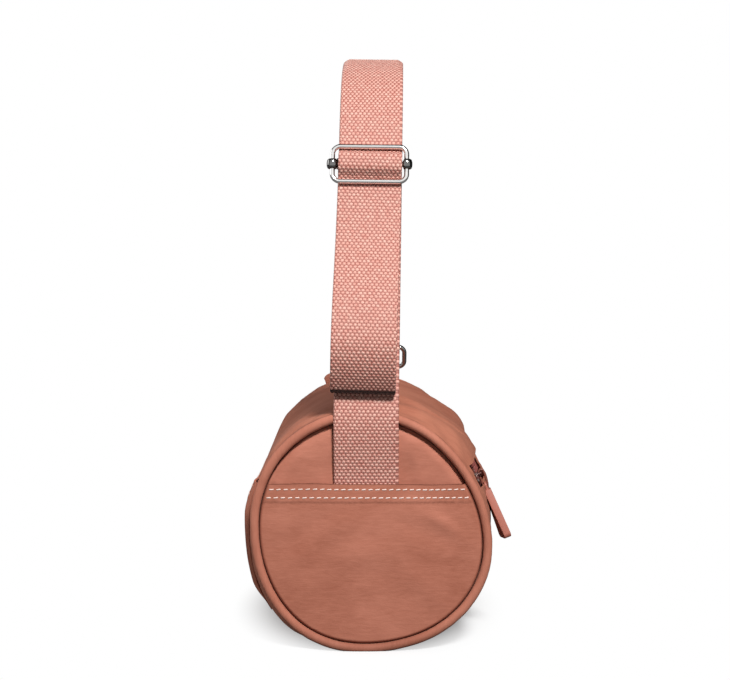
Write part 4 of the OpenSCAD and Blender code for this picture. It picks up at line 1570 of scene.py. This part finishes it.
def seen_straight(tree, path):
    """1 for what the camera sees, straight or through glass, and 0 for light on its way."""
    return maths(tree, "ADD", path["Is Camera Ray"], path["Is Transmission Ray"])


def studio_world():
    """Soft even light from all round. Cameras see white; metal sees a white screen in a dark room."""
    world = bpy.data.worlds.new("studio")
    world.use_nodes = True
    tree = world.node_tree
    path = add_node(tree, "LightPath").outputs
    way = add_node(tree, "SeparateXYZ", {0: add_node(tree, "TexCoord").outputs["Generated"]})
    screen = share_of(tree, way.outputs["Y"], -0.26, -0.56)
    mirrored = maths(tree, "MULTIPLY", path["Is Glossy Ray"], screen)
    dim = maths(tree, "MULTIPLY_ADD", path["Is Glossy Ray"], DARK_ROOM - ROOM_LIGHT, ROOM_LIGHT)
    soft = tree.nodes["Background"]
    set_input(tree, soft.inputs["Color"], PLAIN_WHITE)
    set_input(tree, soft.inputs["Strength"], dim)
    white = add_node(tree, "Background", {"Color": PLAIN_WHITE, "Strength": 1.0})
    share = maths(tree, "ADD", seen_straight(tree, path), mirrored)
    mix = add_node(tree, "MixShader", {0: share, 1: soft.outputs[0], 2: white.outputs[0]})
    tree.links.new(mix.outputs[0], tree.nodes["World Output"].inputs["Surface"])
    return world


bpy.context.scene.world = studio_world()


def grey(level):
    return (level, level, level, 1)


def paper_material():
    """White paper, lit, with a painted shadow on it under the bag, fading to plain white away from it.
    Light bounced off it sees a dark grey.
    """
    material, tree = new_material("white_paper")
    place = object_place(tree)
    path = add_node(tree, "LightPath").outputs
    seen = seen_straight(tree, path)
    paper = blend_colours(tree, noise_over(tree, place, 300), grey(0.93), grey(0.97))
    footprint = mapped(tree, place, Scale=(1 / 0.072, 1 / 0.122, 1))
    from_bag = add_node(tree, "VectorMath", {0: footprint}, operation="LENGTH").outputs["Value"]
    # Painted shadow: the paper darkens towards a deep grey close under the bag.
    painted_shadow_share = maths(tree, "MULTIPLY", share_of(tree, from_bag, 1.12, 0.50, "SMOOTHSTEP"), 0.8)
    paper_with_painted_shadow = blend_colours(tree, painted_shadow_share, paper, grey(0.12))
    shader = tree.nodes["Principled BSDF"]
    set_input(tree, shader.inputs["Base Color"], blend_colours(tree, seen, grey(0.16), paper_with_painted_shadow))
    set_input(tree, shader.inputs["Roughness"], 0.9)
    set_input(tree, shader.inputs["Specular IOR Level"], 0.1)
    away = share_of(tree, from_bag, 0.62, 1.25, "SMOOTHSTEP")
    white = add_node(tree, "Emission", {"Strength": 1.0})
    share = maths(tree, "MULTIPLY", seen, away)
    mix = add_node(tree, "MixShader", {0: share, 1: shader.outputs[0], 2: white.outputs[0]})
    tree.links.new(mix.outputs[0], tree.nodes["Material Output"].inputs["Surface"])
    return material


bpy.ops.mesh.primitive_plane_add(size=8, location=(0, 0, 0))
floor = just_added("floor")
floor.data.materials.append(paper_material())

bpy.context.scene.view_settings.view_transform = "Standard"
